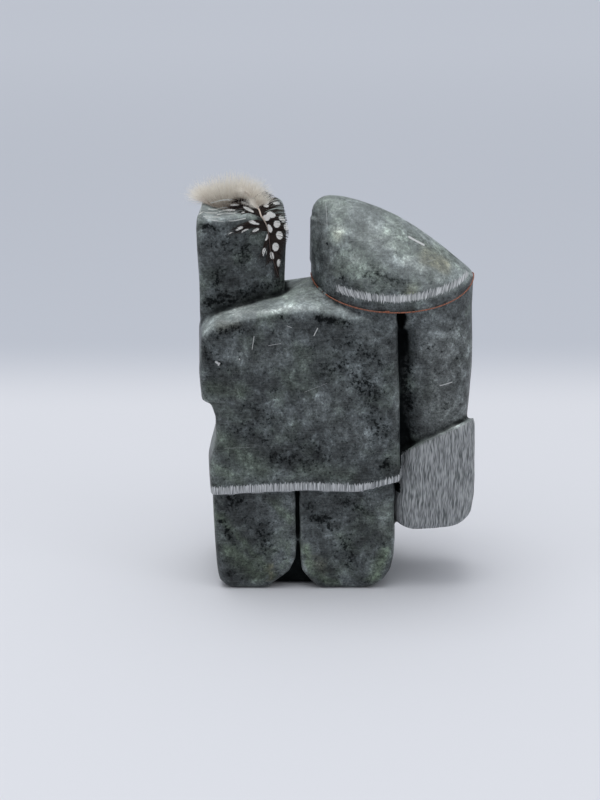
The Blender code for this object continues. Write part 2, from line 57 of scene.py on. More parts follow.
FAR_FROM, FAR_TO = 0.19, 0.33  # metres behind the carving, where the sheet turns grey
FARTHEST_FROM, FARTHEST_TO = 0.7, 2.4  # metres, where it turns a little lighter again
FLOOR_REACH = 14.0  # metres from the middle to the sheet's edges
ROOM_COLOUR = (0.93, 0.955, 1.0, 1.0)
ROOM_OVERHEAD, ROOM_AROUND, ROOM_NARROWNESS = 1.50, 0.10, 3.0  # glow straight above and all round, focus


def stand(name, data):
    """A new object in the scene."""
    made = bpy.data.objects.new(name, data)
    bpy.context.scene.collection.objects.link(made)
    return made


def fill(tree, node, sockets):
    """Gives sockets of a node, by name or number, a value or another node's output."""
    for name, value in sockets.items():
        if isinstance(value, bpy.types.NodeSocket):
            tree.links.new(value, node.inputs[name])
        else:
            node.inputs[name].default_value = value


def add(tree, kind, sockets=None, **settings):
    """A node with its settings and then its sockets."""
    node = tree.nodes.new(kind)
    for name, value in settings.items():
        setattr(node, name, value)
    fill(tree, node, sockets or {})
    return node


def new_material(name):
    """A material with only its output, its Principled shader and the tree that joins them."""
    made = bpy.data.materials.new(name)
    made.use_nodes = True
    tree = made.node_tree
    tree.nodes.clear()
    shader = add(tree, "ShaderNodeBsdfPrincipled")
    add(tree, "ShaderNodeOutputMaterial", {"Surface": shader.outputs["BSDF"]})
    return made, tree, shader


def ramp(tree, value, low, high, to_low=0.0, to_high=1.0):
    """Smooth step of a value between two limits."""
    limits = {0: value, 1: low, 2: high, 3: to_low, 4: to_high}
    return add(tree, "ShaderNodeMapRange", limits, interpolation_type="SMOOTHSTEP").outputs["Result"]


def blended(tree, share, first, second, kind="MIX"):
    """Colour mix of two colours by a share."""
    colours = {0: share, 6: first, 7: second}
    return add(tree, "ShaderNodeMix", colours, data_type="RGBA", blend_type=kind).outputs[2]


def sums(tree, operation, first, second=0.0, third=0.0):
    """One step of arithmetic on two or three values."""
    return add(tree, "ShaderNodeMath", {0: first, 1: second, 2: third}, operation=operation).outputs[0]


floor_mesh = bpy.data.meshes.new("floor")
corners = [(x * FLOOR_REACH, y * FLOOR_REACH, 0.0) for x, y in ((-1, -1), (1, -1), (1, 1), (-1, 1))]
floor_mesh.from_pydata(corners, [], [(0, 1, 2, 3)])
floor = stand("floor", floor_mesh)
floor_look, tree, shader = new_material("pale_sheet_with_painted_backdrop")
place = add(tree, "ShaderNodeTexCoord").outputs["Object"]
depth = add(tree, "ShaderNodeSeparateXYZ", {0: place}).outputs["Y"]
far = ramp(tree, depth, FAR_FROM, FAR_TO)
sheet = blended(tree, far, FLOOR_PALE, FLOOR_PAINTED_SHADE)
sheet = blended(tree, ramp(tree, depth, FARTHEST_FROM, FARTHEST_TO), sheet, FLOOR_PAINTED_SHADE_LIGHTER)
fill(tree, shader, {"Base Color": sheet, "Roughness": 0.85, "Specular IOR Level": 0.15})
floor_mesh.materials.append(floor_look)

bpy.context.scene.view_settings.view_transform = "Standard"
world = bpy.context.scene.world or bpy.data.worlds.new("studio")
bpy.context.scene.world = world
world.use_nodes = True
tree = world.node_tree
tree.nodes.clear()
way = add(tree, "ShaderNodeTexCoord").outputs["Generated"]
height = add(tree, "ShaderNodeSeparateXYZ", {0: way}).outputs["Z"]
height = sums(tree, "POWER", sums(tree, "MAXIMUM", height, 0.0), ROOM_NARROWNESS)
glow = sums(tree, "MULTIPLY_ADD", height, ROOM_OVERHEAD, ROOM_AROUND)
backing = add(tree, "ShaderNodeBackground", {"Color": ROOM_COLOUR, "Strength": glow})
add(tree, "ShaderNodeOutputWorld", {"Surface": backing.outputs[0]})


def hang(name, kind, energy, turns, place=(0.0, 0.0, 0.0)):
    """A lamp at a place in metres, turned by degrees about x, y and z. Returns its light."""
    light = bpy.data.lights.new(name, kind)
    light.energy = energy
    lamp = stand(name, light)
    lamp.location = place
    lamp.rotation_euler = [math.radians(turn) for turn in turns]
    return light


hang("overhead", "SUN", 0.85, (-3.0, -7.0, 0.0)).angle = math.radians(36.0)
hang("from_right", "AREA", 0.75, (66.0, 0.0, 62.0), (0.75, -0.40, 0.42)).size = 0.30
hang("from_left", "AREA", 0.45, (70.0, 0.0, -76.0), (-0.60, -0.15, 0.30)).size = 0.35
hang("glint", "AREA", 0.14, (27.0, 3.0, 0.0), (0.05, -0.55, 1.05)).size = 0.10

# The camera stands behind the figure, half a metre off and looking down by 19 degrees.
LOOKING_DOWN = 19.0
SENSOR, LENS = 36.0, 64.98  # millimetres
camera = bpy.data.cameras.new("camera")
camera.sensor_fit = "VERTICAL"
camera.sensor_height = SENSOR
camera.sensor_width = SENSOR
camera.lens = LENS
camera_object = stand("camera", camera)
camera_object.location = (-0.01469, -0.54674, 0.26061)
camera_object.rotation_euler = (math.radians(90.0 - LOOKING_DOWN), 0.0, 0.0)
bpy.context.scene.camera = camera_object


# The stone. One block of dark grey-green soapstone, sawn, filed round and polished with oil. Its fur
# trims were scratched in afterwards with a point: the hem, the right mitten, the left one and the fringe
# on the hood. The dry scratches stay pale against the oiled stone.
BLOCK_MIDDLE = np.array((-0.95, -2.59, 0.0))  # millimetres, from the block's middle to the model's frame
SKIN = 0.0006  # metres, size of one quad of the even skin
COARSE_SKIN = 0.0026  # metres, the same for the skin that hollows are measured from
STONE_TRIANGLES = 188_000

# The hood's neck is an oval seen from above and a saddle seen from the side.
HOOD_MIDDLE, HOOD_HALF_WIDTH, HOOD_HALF_DEPTH = 21.9, 31.4, 25.7
NECK_HIGH, NECK_DROP = 125.1, 8.6  # height at its two ends, and how far it dips between them
# Places along the trims and their limits there: the hem's lower edge, and the fringe above the neck.
HEM_X = (-50.0, -48.6, -31.0, -11.0, 9.0, 16.6, 25.6)
HEM_LOW = (41.0, 41.0, 42.2, 43.2, 42.3, 43.6, 46.4)
HEM_HEIGHT = 3.8
COAT_BOX = (-50.5, 26.0, -23.0, 23.0)  # left, right, back, front
FRINGE_X = (0.3, 8.0, 15.0, 22.0, 33.0, 38.0, 43.0, 51.0)
FRINGE_LOW = (3.7, 3.9, 4.0, 4.1, 4.4, 4.6, 4.5, 4.3)
FRINGE_HIGH = (5.9, 6.1, 6.2, 6.2, 6.5, 6.6, 6.3, 5.5)
MITTEN_BOX = (22.3, 56.1, -21.4, 15.5)  # the same for the right mitten
MITTEN_SQUARENESS = 3.4  # power of its rounded outline
TRIM_RIM = 3.0  # distances inside a trim are cut off at this
THREAD_CLEARANCE = 0.46  # from the thread's middle to the stone


def grain(places, size, seed):
    """Smooth noise from -1 to 1: a hashed value at each corner of a lattice, eased between corners."""
    cell = np.asarray(places) / np.asarray(size, dtype=float)
    corner = np.floor(cell).astype(np.int64)
    share = cell - corner
    share = share * share * (3.0 - 2.0 * share)
    total = np.zeros(len(cell))
    for step in np.ndindex(2, 2, 2):
        at = corner + np.array(step)
        code = (at[:, 0] * 73856093) ^ (at[:, 1] * 19349663) ^ (at[:, 2] * 83492791) ^ (seed * 2654435761)
        code = ((code & 0xFFFFFFFF) * 2246822519) & 0xFFFFFFFF
        code = ((code ^ (code >> 13)) * 3266489917) & 0xFFFFFFFF
        weight = np.prod(np.where(np.array(step) == 1, share, 1.0 - share), axis=1)
        total += weight * ((code >> 8) / float(1 << 23) - 1.0)
    return total


def swell(places, size, seed):
    """Slow uneven swell: seven sine waves that run in fixed directions of their own."""
    ways = np.random.default_rng(seed)
    total = np.zeros(len(places))
    for _ in range(7):
        way = ways.normal(size=3)
        wave = 2.0 * math.pi / (size * ways.uniform(0.8, 1.6) * np.linalg.norm(way))
        total += np.sin(places @ way * wave + ways.uniform(0.0, 2.0 * math.pi))
    return total / 3.5


def relaxed(places, edges, rounds):
    """Each point goes half way to the mean of its neighbours, some rounds in turn."""
    ends = np.concatenate((edges[:, 0], edges[:, 1]))
    others = np.concatenate((edges[:, 1], edges[:, 0]))
    count = np.bincount(ends, minlength=len(places))[:, None]
    for _ in range(rounds):
        mean = np.stack(
            [np.bincount(ends, weights=places[others, k], minlength=len(places)) for k in range(3)], axis=1
        )
        places = places + 0.5 * (mean / count - places)
    return places


def points_of(mesh):
    """(places in millimetres from the block's middle, unit normals) of a mesh's vertices."""
    places = np.empty(len(mesh.vertices) * 3)
    normals = np.empty(len(mesh.vertices) * 3)
    mesh.vertices.foreach_get("co", places)
    mesh.vertex_normals.foreach_get("vector", normals)
    return places.reshape(-1, 3) * 1000.0 - BLOCK_MIDDLE, normals.reshape(-1, 3)


def put_points(mesh, places):
    """Moves the mesh's vertices to places in millimetres."""
    mesh.vertices.foreach_set("co", ((places + BLOCK_MIDDLE) / 1000.0).ravel())
    mesh.update()


def edges_of(mesh):
    """The two vertices of each edge."""
    edges = np.empty(len(mesh.edges) * 2, dtype=np.int64)
    mesh.edges.foreach_get("vertices", edges)
    return edges.reshape(-1, 2)


def applied(piece):
    """The piece's mesh with its modifiers worked in."""
    made = bpy.data.meshes.new_from_object(piece.evaluated_get(bpy.context.evaluated_depsgraph_get()))
    piece.modifiers.clear()
    piece.data = made
    return made


def stepped(value, low, high):
    """Smooth step of an array between two limits."""
    share = np.clip((value - low) / (high - low), 0.0, 1.0)
    return share * share * (3.0 - 2.0 * share)


def hood_width(x):
    """Half depth of the hood's oval neck at a place along it."""
    return HOOD_HALF_DEPTH * np.sqrt(np.maximum(1.0 - ((x - HOOD_MIDDLE) / HOOD_HALF_WIDTH) ** 2, 0.0))


def neck_height(y):
    """The neck is a saddle, highest at its two ends."""
    return NECK_HIGH - NECK_DROP * (np.hypot(y, 3.0) - 3.0) / (HOOD_HALF_DEPTH - 3.0)


def round_a_box(across, depth, box):
    """Distance round a box-like column, counted from the middle of its back, on the nearest of its sides."""
    left, right, back, front = box
    a, b = (right - left) / 2.0, (front - back) / 2.0
    u, v = across - (left + right) / 2.0, depth - (back + front) / 2.0
    on_side = np.sign(u) * (a + b + v)
    on_front = np.sign(u) * (2.0 * a + 2.0 * b) - u
    return np.where(np.abs(u) / a > np.abs(v) / b, on_side, np.where(v < 0.0, u, on_front))


def fur_bands(places, normals):
    """(distance inside the nearest fur trim, distance round it, distance along its strokes, all in
    millimetres, and whether the trim is a mitten). A trim is found by its place on the block."""
    x, y, z = places.T
    inside = np.full(len(x), -TRIM_RIM)
    around, along = x.copy(), z.copy()

    # The right mitten, up to its sloping cuff: the rounded sides of its box and its underside.
    cuff = 59.2 + 0.5 * (x - 40.4) - 0.36 * (y + 3.0)
    left, right, back, front = MITTEN_BOX
    u = (x - (left + right) / 2.0) / ((right - left) / 2.0)
    v = (y - (back + front) / 2.0) / ((front - back) / 2.0)
    power = MITTEN_SQUARENESS
    reach = (np.abs(u) ** power + np.abs(v) ** power) ** (1.0 / power)
    facing = normals[:, 0] * np.sign(u) * np.abs(u) ** (power - 1.0)
    facing += normals[:, 1] * np.sign(v) * np.abs(v) ** (power - 1.0)
    sides = (reach > 0.8) & (reach < 1.045) & (facing > 0.0)
    on_mitten = (x > 21.6) & (z < cuff + 1.0) & (sides | (z < 31.0) & (reach < 1.02) & (x > 25.0))
    on_mitten &= (z < 40.0) | (x > 25.9)
    inside = np.where(on_mitten, np.minimum(cuff - z, TRIM_RIM), inside)
    around = np.where(on_mitten, round_a_box(x, y, MITTEN_BOX), around)

    # The hem, a band round the coat that leaves out the arm.
    top = np.interp(x, HEM_X, HEM_LOW) + HEM_HEIGHT
    on_hem = ~on_mitten & (z < top + TRIM_RIM) & (z > top - HEM_HEIGHT - 2.5)
    on_hem &= (x < 26.9) & (normals[:, 2] > -0.75)
    on_hem &= (np.abs(y) > 21.2) | (x < -48.6) | (x > 24.6)
    inside = np.where(on_hem, np.clip(top - z, -TRIM_RIM, TRIM_RIM), inside)
    around = np.where(on_hem, round_a_box(x, y, COAT_BOX), around)

    # The hood's fringe, a band above the thread on the near and the far slope. Its strokes fan out upwards.
    above = z - neck_height(hood_width(x))
    low, high = np.interp(x, FRINGE_X, FRINGE_LOW), np.interp(x, FRINGE_X, FRINGE_HIGH)
    band = np.minimum(np.minimum(above - low, high - above), np.minimum(x - FRINGE_X[0], FRINGE_X[-1] - x))
    on_fringe = (above > 1.0) & (above < 9.0) & (x > -3.0) & (x < 52.5) & (np.abs(y) > 5.0) & (z > 118.0)
    inside = np.where(on_fringe, np.clip(band, -TRIM_RIM, TRIM_RIM), inside)
    fan = 22.0 + (x - 22.0) / (1.0 + 0.022 * (above - 4.5))
    around = np.where(on_fringe, fan, around)
    along = np.where(on_fringe, above, along)

    # The left mitten on the belly, whose strokes run across.
    on_left = (y > 24.0) & (x > -12.8) & (x < 9.5) & (z > 72.5) & (z < 93.5)
    inside = np.where(on_left, np.minimum(x + 12.3, TRIM_RIM), inside)
    around = np.where(on_left, z, around)
    along = np.where(on_left, x, along)
    return inside, around, along, on_mitten | on_left


def from_thread(places):
    """(nearest point of the thread's route, distance to it) for each place."""
    x, y, _ = places.T
    turn = np.arctan2(y / HOOD_HALF_DEPTH, (x - HOOD_MIDDLE) / HOOD_HALF_WIDTH)
    depth = HOOD_HALF_DEPTH * np.sin(turn)
    route = np.column_stack((HOOD_MIDDLE + HOOD_HALF_WIDTH * np.cos(turn), depth, neck_height(depth)))
    return route, np.linalg.norm(places - route, axis=1)


def even_skin(name, mesh, size, rounds):
    """An object of even quads on a mesh, each point of it eased by its neighbours some rounds in turn."""
    piece = stand(name, mesh)
    even = piece.modifiers.new("even", "REMESH")
    even.mode = "VOXEL"
    even.voxel_size = size
    skin = applied(piece)
    put_points(skin, relaxed(points_of(skin)[0], edges_of(skin), rounds))
    return piece


def stone_skin(node):
    """An even skin of the block: the CAD solid's doubles are merged, then it is remeshed in small quads,
    eased, and split once more where the trims, the face and the thread's groove need it."""
    merged = node.data.copy()
    shape = bmesh.new()
    shape.from_mesh(merged)
    bmesh.ops.remove_doubles(shape, verts=shape.verts, dist=1e-6)
    shape.to_mesh(merged)
    shape.free()
    piece = even_skin("carved_stone", merged, SKIN, 3)
    mesh = piece.data
    places, normals = points_of(mesh)
    inside, _, _, _ = fur_bands(places, normals)
    _, away = from_thread(places)
    on_face = (places[:, 1] > 12.0) & (places[:, 2] > 112.0) & (places[:, 0] < -18.0)
    fine = (inside > -1.2) | (away < 1.6) | on_face
    edges = edges_of(mesh)
    split = np.flatnonzero(fine[edges[:, 0]] & fine[edges[:, 1]])
    shape = bmesh.new()
    shape.from_mesh(mesh)
    shape.edges.ensure_lookup_table()
    bmesh.ops.subdivide_edges(shape, edges=[shape.edges[i] for i in split], cuts=1, use_grid_fill=True)
    shape.to_mesh(mesh)
    shape.free()
    return piece


def carved(places, normals):
    """Places after the hand's work: slow filing waves, the ledge of the elbow, a chip, the notch on the
    hood's blunt end, and the scratched strokes of the trims."""
    x, y, z = places.T
    rise = 0.14 * swell(places, 26.0, 3) + 0.035 * swell(places, 8.0, 5)

    # The ledge where the elbow bends forward, and above it the chip with a pit beside it.
    onto_back = stepped(-y, 19.0, 22.0)
    ledge = stepped(-x, 37.0, 47.0) * stepped(80.3 - z, 0.0, 1.1) * stepped(z, 62.0, 77.0) * onto_back
    rise -= 1.3 * ledge
    chip = np.hypot(x + 44.9, z - 95.8)
    pit = np.hypot(x + 43.5, z - 95.4)
    rise -= onto_back * (0.35 * np.exp(-((chip / 1.3) ** 2)) + 0.5 * np.exp(-((pit / 0.7) ** 2)))
    notch = stepped(-x, 6.6, 8.6) * (x > -12.0) * stepped(-y, -6.0, 0.0)
    notch *= stepped(z, 129.0, 131.0) * stepped(147.8 - z, 0.0, 0.8)
    rise += 0.5 * notch

    # The trims lie a little lower than the stone round them, and their strokes are cut to uneven depths.
    inside, around, along, mitten = fur_bands(places, normals)
    depth = stepped(inside, -0.1, 0.4)
    waved = around + 0.35 * grain(np.column_stack((around, along, y)), (9.0, 13.0, 50.0), 11) * mitten
    lanes = np.column_stack((waved, along, np.zeros(len(x))))
    strokes = grain(lanes, (0.62, 6.0, 1.0), 7) * 0.6 + grain(lanes, (0.38, 3.5, 1.0), 9) * 0.4
    rise += depth * (0.12 * strokes - 0.08)
    moved = places + normals * rise[:, None]
    moved[:, 2] = np.maximum(moved[:, 2], 0.0)
    return moved


def clear_of_thread(places):
    """Places pushed out of the round groove that the thread lies in."""
    route, away = from_thread(places)
    near = (away < THREAD_CLEARANCE) & (away > 1e-4)
    moved = places.copy()
    moved[near] = route[near] + (places[near] - route[near]) * (THREAD_CLEARANCE / away[near])[:, None]
    return moved


def give(mesh, name, values):
    """A value for each vertex that the material reads."""
    given = mesh.attributes.new(name, "FLOAT", "POINT")
    given.data.foreach_set("value", np.asarray(values, dtype=np.float32))


def patches(places, normals, marks):
    """How strongly each place lies in the soft marks of the back: the greatest of their bells. The bell
    falls off with the distance to the mark, on places shifted by a noise so that its rim is uneven."""
    x = places[:, 0] + 1.1 * grain(places, (3.6,) * 3, 21) + 0.6 * grain(places, (1.3,) * 3, 23)
    z = places[:, 2] + 1.1 * grain(places, (3.6,) * 3, 25) + 0.6 * grain(places, (1.3,) * 3, 27)
    total = np.zeros(len(x))
    for mark in marks:
        x1, z1 = mark[:2]
        x2, z2, reach, strength = mark[-4:]
        run_x, run_z = x2 - x1, z2 - z1
        share = np.clip(((x - x1) * run_x + (z - z1) * run_z) / max(run_x**2 + run_z**2, 1e-6), 0.0, 1.0)
        gap = np.hypot(x - x1 - share * run_x, z - z1 - share * run_z)
        total = np.maximum(total, strength * np.exp(-((gap / reach) ** 2)))
    return total * (normals[:, 1] < 0.25)


def hollows(node, places):
    """How deep each place lies under a coarse, well eased skin of the block, in millimetres; below zero on
    the edges that stand out of it."""
    piece = even_skin("coarse", node.data.copy(), COARSE_SKIN, 5)
    coarse, ways = points_of(piece.data)
    bpy.data.objects.remove(piece)
    nearest = KDTree(len(coarse))
    for i, place in enumerate(coarse):
        nearest.insert(place, i)
    nearest.balance()
    index = np.array([nearest.find(place)[1] for place in places])
    return np.sum((coarse[index] - places) * ways[index], axis=1)


# The stone's own markings on the back, with painted shade and painted highlights among them where noted. A
# round one is (x, z, reach, strength), and one along a line is (start x, start z, end x, end z, reach,
# strength).
DARK_MARKS_AND_SHADE = (
    (-21.1, 113.7, 1.6, 0.9), (-23.6, 107.6, -22.4, 107.3, 0.8, 1.0), (-6.5, 113.9, -1.4, 112.7, 1.9, 0.9),
    (1.5, 112.2, 3.7, 111.6, 1.7, 0.8), (8.6, 106.3, 1.0, 0.8), (-12.0, 101.8, 2.3, 0.6),
    (-43.3, 107.8, -37.3, 109.5, 2.6, 0.6), (9.0, 89.3, 15.0, 83.5, 3.9, 0.6), (-23.6, 85.5, 1.4, 0.7),
    (-43.3, 95.3, 0.9, 0.9), (19.2, 54.6, 1.8, 1.0), (17.2, 57.5, 1.4, 0.9), (-41.8, 93.7, 1.2, 0.6),
    (14.0, 74.0, 18.0, 68.0, 2.8, 0.6), (-34.0, 78.0, -25.0, 74.0, 3.0, 0.4),
    (-5.0, 92.0, 3.0, 95.0, 3.5, 0.4), (-14.0, 64.0, -4.0, 58.0, 4.5, 0.4),
    (-41.3, 38.5, -37.3, 38.5, 2.2, 0.9), (-35.4, 31.7, 2.3, 0.5), (-28.8, 28.0, -27.0, 18.0, 3.2, 0.6),
    (-41.7, 7.3, 1.4, 0.9), (-8.0, 31.6, -1.9, 29.1, 2.4, 0.8), (4.1, 21.6, 7.0, 11.1, 2.4, 0.7),
    (-9.8, 36.8, 3.1, 0.6), (3.9, 38.8, 9.0, 35.0, 3.1, 0.6), (-44.5, 30.4, -40.5, 22.0, 1.1, 0.8),
    (15.3, 130.8, 0.9, 1.0), (12.8, 132.4, 1.4, 0.6), (-3.3, 138.9, 0.6, 1.0), (22.4, 137.2, 0.8, 0.7),
    (24.0, 143.0, 45.0, 131.0, 2.0, 0.55), (12.0, 129.5, 24.0, 127.5, 2.6, 0.6), (34.8, 127.5, 2.3, 0.4),
    (3.1, 127.5, 2.3, 0.6), (35.9, 100.3, 0.9, 1.0), (33.0, 102.0, 0.9, 0.7), (40.7, 98.8, 1.2, 0.5),
    (45.8, 95.6, 1.6, 0.5), (42.2, 77.4, 1.0, 0.6), (30.9, 65.1, 2.3, 0.7),
    (-49.6, 146.0, -47.0, 145.6, 1.4, 1.0), (-34.5, 137.1, -36.5, 131.8, 2.4, 0.6),
    # Painted shade: the last mark on the next line and the last on the line after it run along the shaded
    # joint under the hair's block.
    (-28.2, 134.1, 2.3, 0.5), (-48.0, 117.0, -40.4, 118.4, 2.6, 0.9),
    (-44.0, 128.0, -46.0, 123.0, 2.4, 0.5), (-40.0, 117.6, -21.0, 122.4, 2.2, 0.75),
    (-12.0, 121.5, -3.0, 118.5, 2.2, 0.5), (-46.0, 141.0, -38.0, 139.0, 3.0, 0.4),
    # Painted shade: the two marks on the next line and the first on the line after it run down the shaded
    # groove between coat and arm.
    (25.2, 113.0, 25.4, 104.0, 1.8, 0.9), (25.2, 104.0, 27.5, 80.0, 2.0, 0.8),
    (27.5, 80.0, 27.0, 66.0, 2.6, 0.8), (-24.0, 57.0, -10.0, 55.0, 3.0, 0.45),
    (-37.0, 70.0, -28.0, 66.0, 3.2, 0.4), (4.0, 105.0, 16.0, 97.0, 4.0, 0.4),
    (-49.0, 104.0, -47.5, 90.0, 1.6, 0.5),
)
GREEN_MARKS = (
    (-45.8, 32.6, -23.9, 5.6, 1.4, 0.8), (-42.6, 17.6, -30.9, 6.7, 3.1, 0.9),
    (-23.7, 37.9, -16.9, 30.0, 1.8, 0.6), (-17.4, 20.9, -19.9, 10.0, 1.2, 0.5),
    (-12.0, 18.7, -8.9, 6.7, 1.6, 0.9), (-6.9, 6.7, 1.0, 1.7, 1.8, 0.8), (19.7, 16.6, 15.9, 4.5, 2.0, 0.9),
    (10.1, 34.3, 16.5, 29.4, 1.6, 0.4), (2.1, 23.9, 6.9, 18.3, 2.0, 0.35),
    (-48.3, 36.8, -47.0, 26.1, 1.2, 0.6), (-48.0, 86.1, -36.6, 84.5, 3.1, 0.6),
    (-44.6, 65.0, -28.5, 52.5, 4.7, 0.5), (-13.7, 52.5, 5.7, 50.0, 3.5, 0.35),
    (-46.7, 52.5, -37.1, 48.4, 3.1, 0.5), (27.2, 124.8, 3.0, 0.5), (0.0, 143.0, 1.0, 149.0, 3.0, 0.35),
    (48.0, 50.0, 53.0, 36.0, 3.0, 0.5), (40.0, 40.0, 44.0, 34.0, 2.5, 0.35),
)
PALE_MARKS_AND_HIGHLIGHTS = (
    (1.0, 145.4, 2.7, 0.8), (6.5, 134.8, 2.3, 0.6), (21.7, 138.5, 2.3, 0.4),
    (10.0, 143.9, 18.0, 140.0, 4.7, 0.4), (26.0, 134.0, 36.0, 128.6, 2.6, 0.6), (-0.9, 149.9, 2.0, 0.5),
    # Painted highlights: the two marks on the next line and the first on the line after it run along the
    # shoulder's rounded rim; the second on that line runs down the coat's right edge.
    (-38.9, 114.5, -33.0, 115.0, 1.0, 0.9), (-32.5, 115.0, -17.5, 116.6, 0.7, 0.8),
    (-17.5, 116.6, -6.0, 117.6, 0.6, 0.5), (22.9, 108.0, 23.6, 70.0, 0.9, 0.5),
    (12.0, 105.0, 20.0, 100.0, 3.0, 0.3), (0.0, 71.0, 9.0, 66.0, 4.0, 0.25),
    (41.0, 99.0, 43.0, 65.0, 9.5, 0.95), (-35.0, 99.0, -22.0, 101.0, 5.0, 0.25),
    (-8.0, 79.0, 2.0, 84.0, 5.0, 0.2), (-40.0, 88.5, -38.0, 80.0, 1.6, 0.3),
    (20.0, 36.0, 19.0, 22.0, 1.6, 0.35), (-10.0, 129.0, -8.5, 146.0, 2.2, 0.35),
)
OLIVE_MARKS = (
    (32.4, 135.2, 41.2, 130.6, 2.0, 0.8), (1.0, 143.1, 2.0, 0.4), (27.2, 124.6, 2.3, 0.6),
    (-26.0, 10.0, -24.5, 5.0, 1.0, 0.7), (-6.0, 13.0, -4.0, 8.0, 1.4, 0.4),
    (-44.0, 110.0, -38.0, 111.0, 2.0, 0.3),
)

FUR = ("fur_inside", "fur_around", "fur_along", "fur_mitten")
MARKS = {
    "dark_marks_and_shade": DARK_MARKS_AND_SHADE, "green_marks": GREEN_MARKS,
    "pale_marks_and_highlights": PALE_MARKS_AND_HIGHLIGHTS, "olive_marks": OLIVE_MARKS,
}
# Under the coat between the legs the stone is rough and painted near black as painted shade: left, right,
# back, front, top, and how hollow.
UNDER_COAT, UNDER_COAT_HOLLOW = (-27.0, -5.0, -19.0, -10.0, 40.0), 2.5

stone = stone_skin(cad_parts["soapstone_figure"])
places, normals = points_of(stone.data)
put_points(stone.data, clear_of_thread(carved(places, normals)))
thin = stone.modifiers.new("thin", "DECIMATE")
thin.ratio = min(1.0, STONE_TRIANGLES / (2.0 * len(stone.data.polygons)))
applied(stone)
places, normals = points_of(stone.data)
put_points(stone.data, clear_of_thread(places))
places, normals = points_of(stone.data)
softened = relaxed(places, edges_of(stone.data), 10)
for name, values in zip(FUR, fur_bands(places, normals)):
    give(stone.data, name, values)
give(stone.data, "edge_wear", np.sum((places - softened) * normals, axis=1))
x, y, z = places.T
left, right, back, front, top = UNDER_COAT
under_coat = (x > left) & (x < right) & (y > back) & (y < front) & (z < top) & (normals[:, 1] < -0.3)
hollow = np.where(under_coat, UNDER_COAT_HOLLOW, hollows(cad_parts["soapstone_figure"], places))
give(stone.data, "hollow", hollow)
give(stone.data, "upward", normals[:, 2])
for name, marks in MARKS.items():
    give(stone.data, name, patches(places, normals, marks))
stone.data.polygons.foreach_set("use_smooth", np.ones(len(stone.data.polygons), dtype=bool))
stone.data.update()


def new_group(name, inputs, outputs):
    """A shader node group with named sockets, each (name, kind)."""
    group = bpy.data.node_groups.new(name, "ShaderNodeTree")
    for sockets, way in ((inputs, "INPUT"), (outputs, "OUTPUT")):
        for socket, kind in sockets:
            group.interface.new_socket(socket, in_out=way, socket_type="NodeSocket" + kind)
    return group, add(group, "NodeGroupInput"), add(group, "NodeGroupOutput")


def noise(tree, place, scale, detail=4.0, roughness=0.55):
    """Noise on a place in millimetres, scale in waves per millimetre."""
    sockets = {"Vector": place, "Scale": scale, "Detail": detail, "Roughness": roughness}
    return add(tree, "ShaderNodeTexNoise", sockets).outputs["Fac"]


def vectors(tree, operation, first, second=(0.0, 0.0, 0.0), out=0):
    """One step of arithmetic on two vectors."""
    return add(tree, "ShaderNodeVectorMath", {0: first, 1: second}, operation=operation).outputs[out]


def times(tree, first, second):
    """The product of two values."""
    return sums(tree, "MULTIPLY", first, second)


def read(tree, name):
    """The value that the mesh gives under that name."""
    return add(tree, "ShaderNodeAttribute", attribute_name=name).outputs["Fac"]


def millimetres(tree):
    """The place on the model in millimetres."""
    return vectors(tree, "MULTIPLY", add(tree, "ShaderNodeTexCoord").outputs["Object"], (1000.0,) * 3)


# Mottling: a tone round 1, twice as light or dark for each step of its summed noises, from slow warped
# clouds to a fine grain; the noise that the black flecks are cut from; greenish clouds; thin pale veins.
CLOUDS, PATCHES, SPOTS, FINE = 5.4, 5.0, 3.2, 2.2  # how strongly each noise counts in the tone
VEIN_WIDTH = 0.016

mottling, given, result = new_group(
    "mottling", [("Place", "Vector")], [(n, "Float") for n in ("Tone", "Flecks", "Green", "Veins", "Grain")]
)
tree, place = mottling, given.outputs[0]
warp = add(tree, "ShaderNodeTexNoise", {"Vector": place, "Scale": 0.06, "Detail": 3.0})
bent = vectors(tree, "SUBTRACT", warp.outputs["Color"], (0.5, 0.5, 0.5))
bent = vectors(tree, "ADD", place, vectors(tree, "MULTIPLY", bent, (9.0, 9.0, 9.0)))
fine = noise(tree, place, 2.6, 2.0, 0.6)
parts = (
    (noise(tree, bent, 0.075, 3.0), CLOUDS), (noise(tree, bent, 0.27, 3.0, 0.6), PATCHES),
    (noise(tree, place, 1.1, 2.0, 0.6), SPOTS), (fine, FINE),
)
tone = -0.5 * (CLOUDS + PATCHES + SPOTS + FINE)
for part, share in parts:
    tone = sums(tree, "MULTIPLY_ADD", part, share, tone)
tone = sums(tree, "POWER", 2.0, tone)
fleck = noise(tree, place, 0.80, 4.0, 0.62)
elsewhere = vectors(tree, "ADD", bent, (3.0, 60.0, 21.0))
green = ramp(tree, noise(tree, elsewhere, 0.060, 5.0, 0.6), 0.47, 0.68)
ridge = sums(tree, "SUBTRACT", noise(tree, bent, 0.42, 4.0, 0.55), 0.5)
veins = ramp(tree, sums(tree, "ABSOLUTE", ridge), 0.0, VEIN_WIDTH, 1.0, 0.0)
veins = times(tree, veins, ramp(tree, noise(tree, bent, 0.16, 2.0), 0.42, 0.62))
for socket, value in zip(result.inputs, (tone, fleck, green, veins, fine)):
    tree.links.new(value, socket)

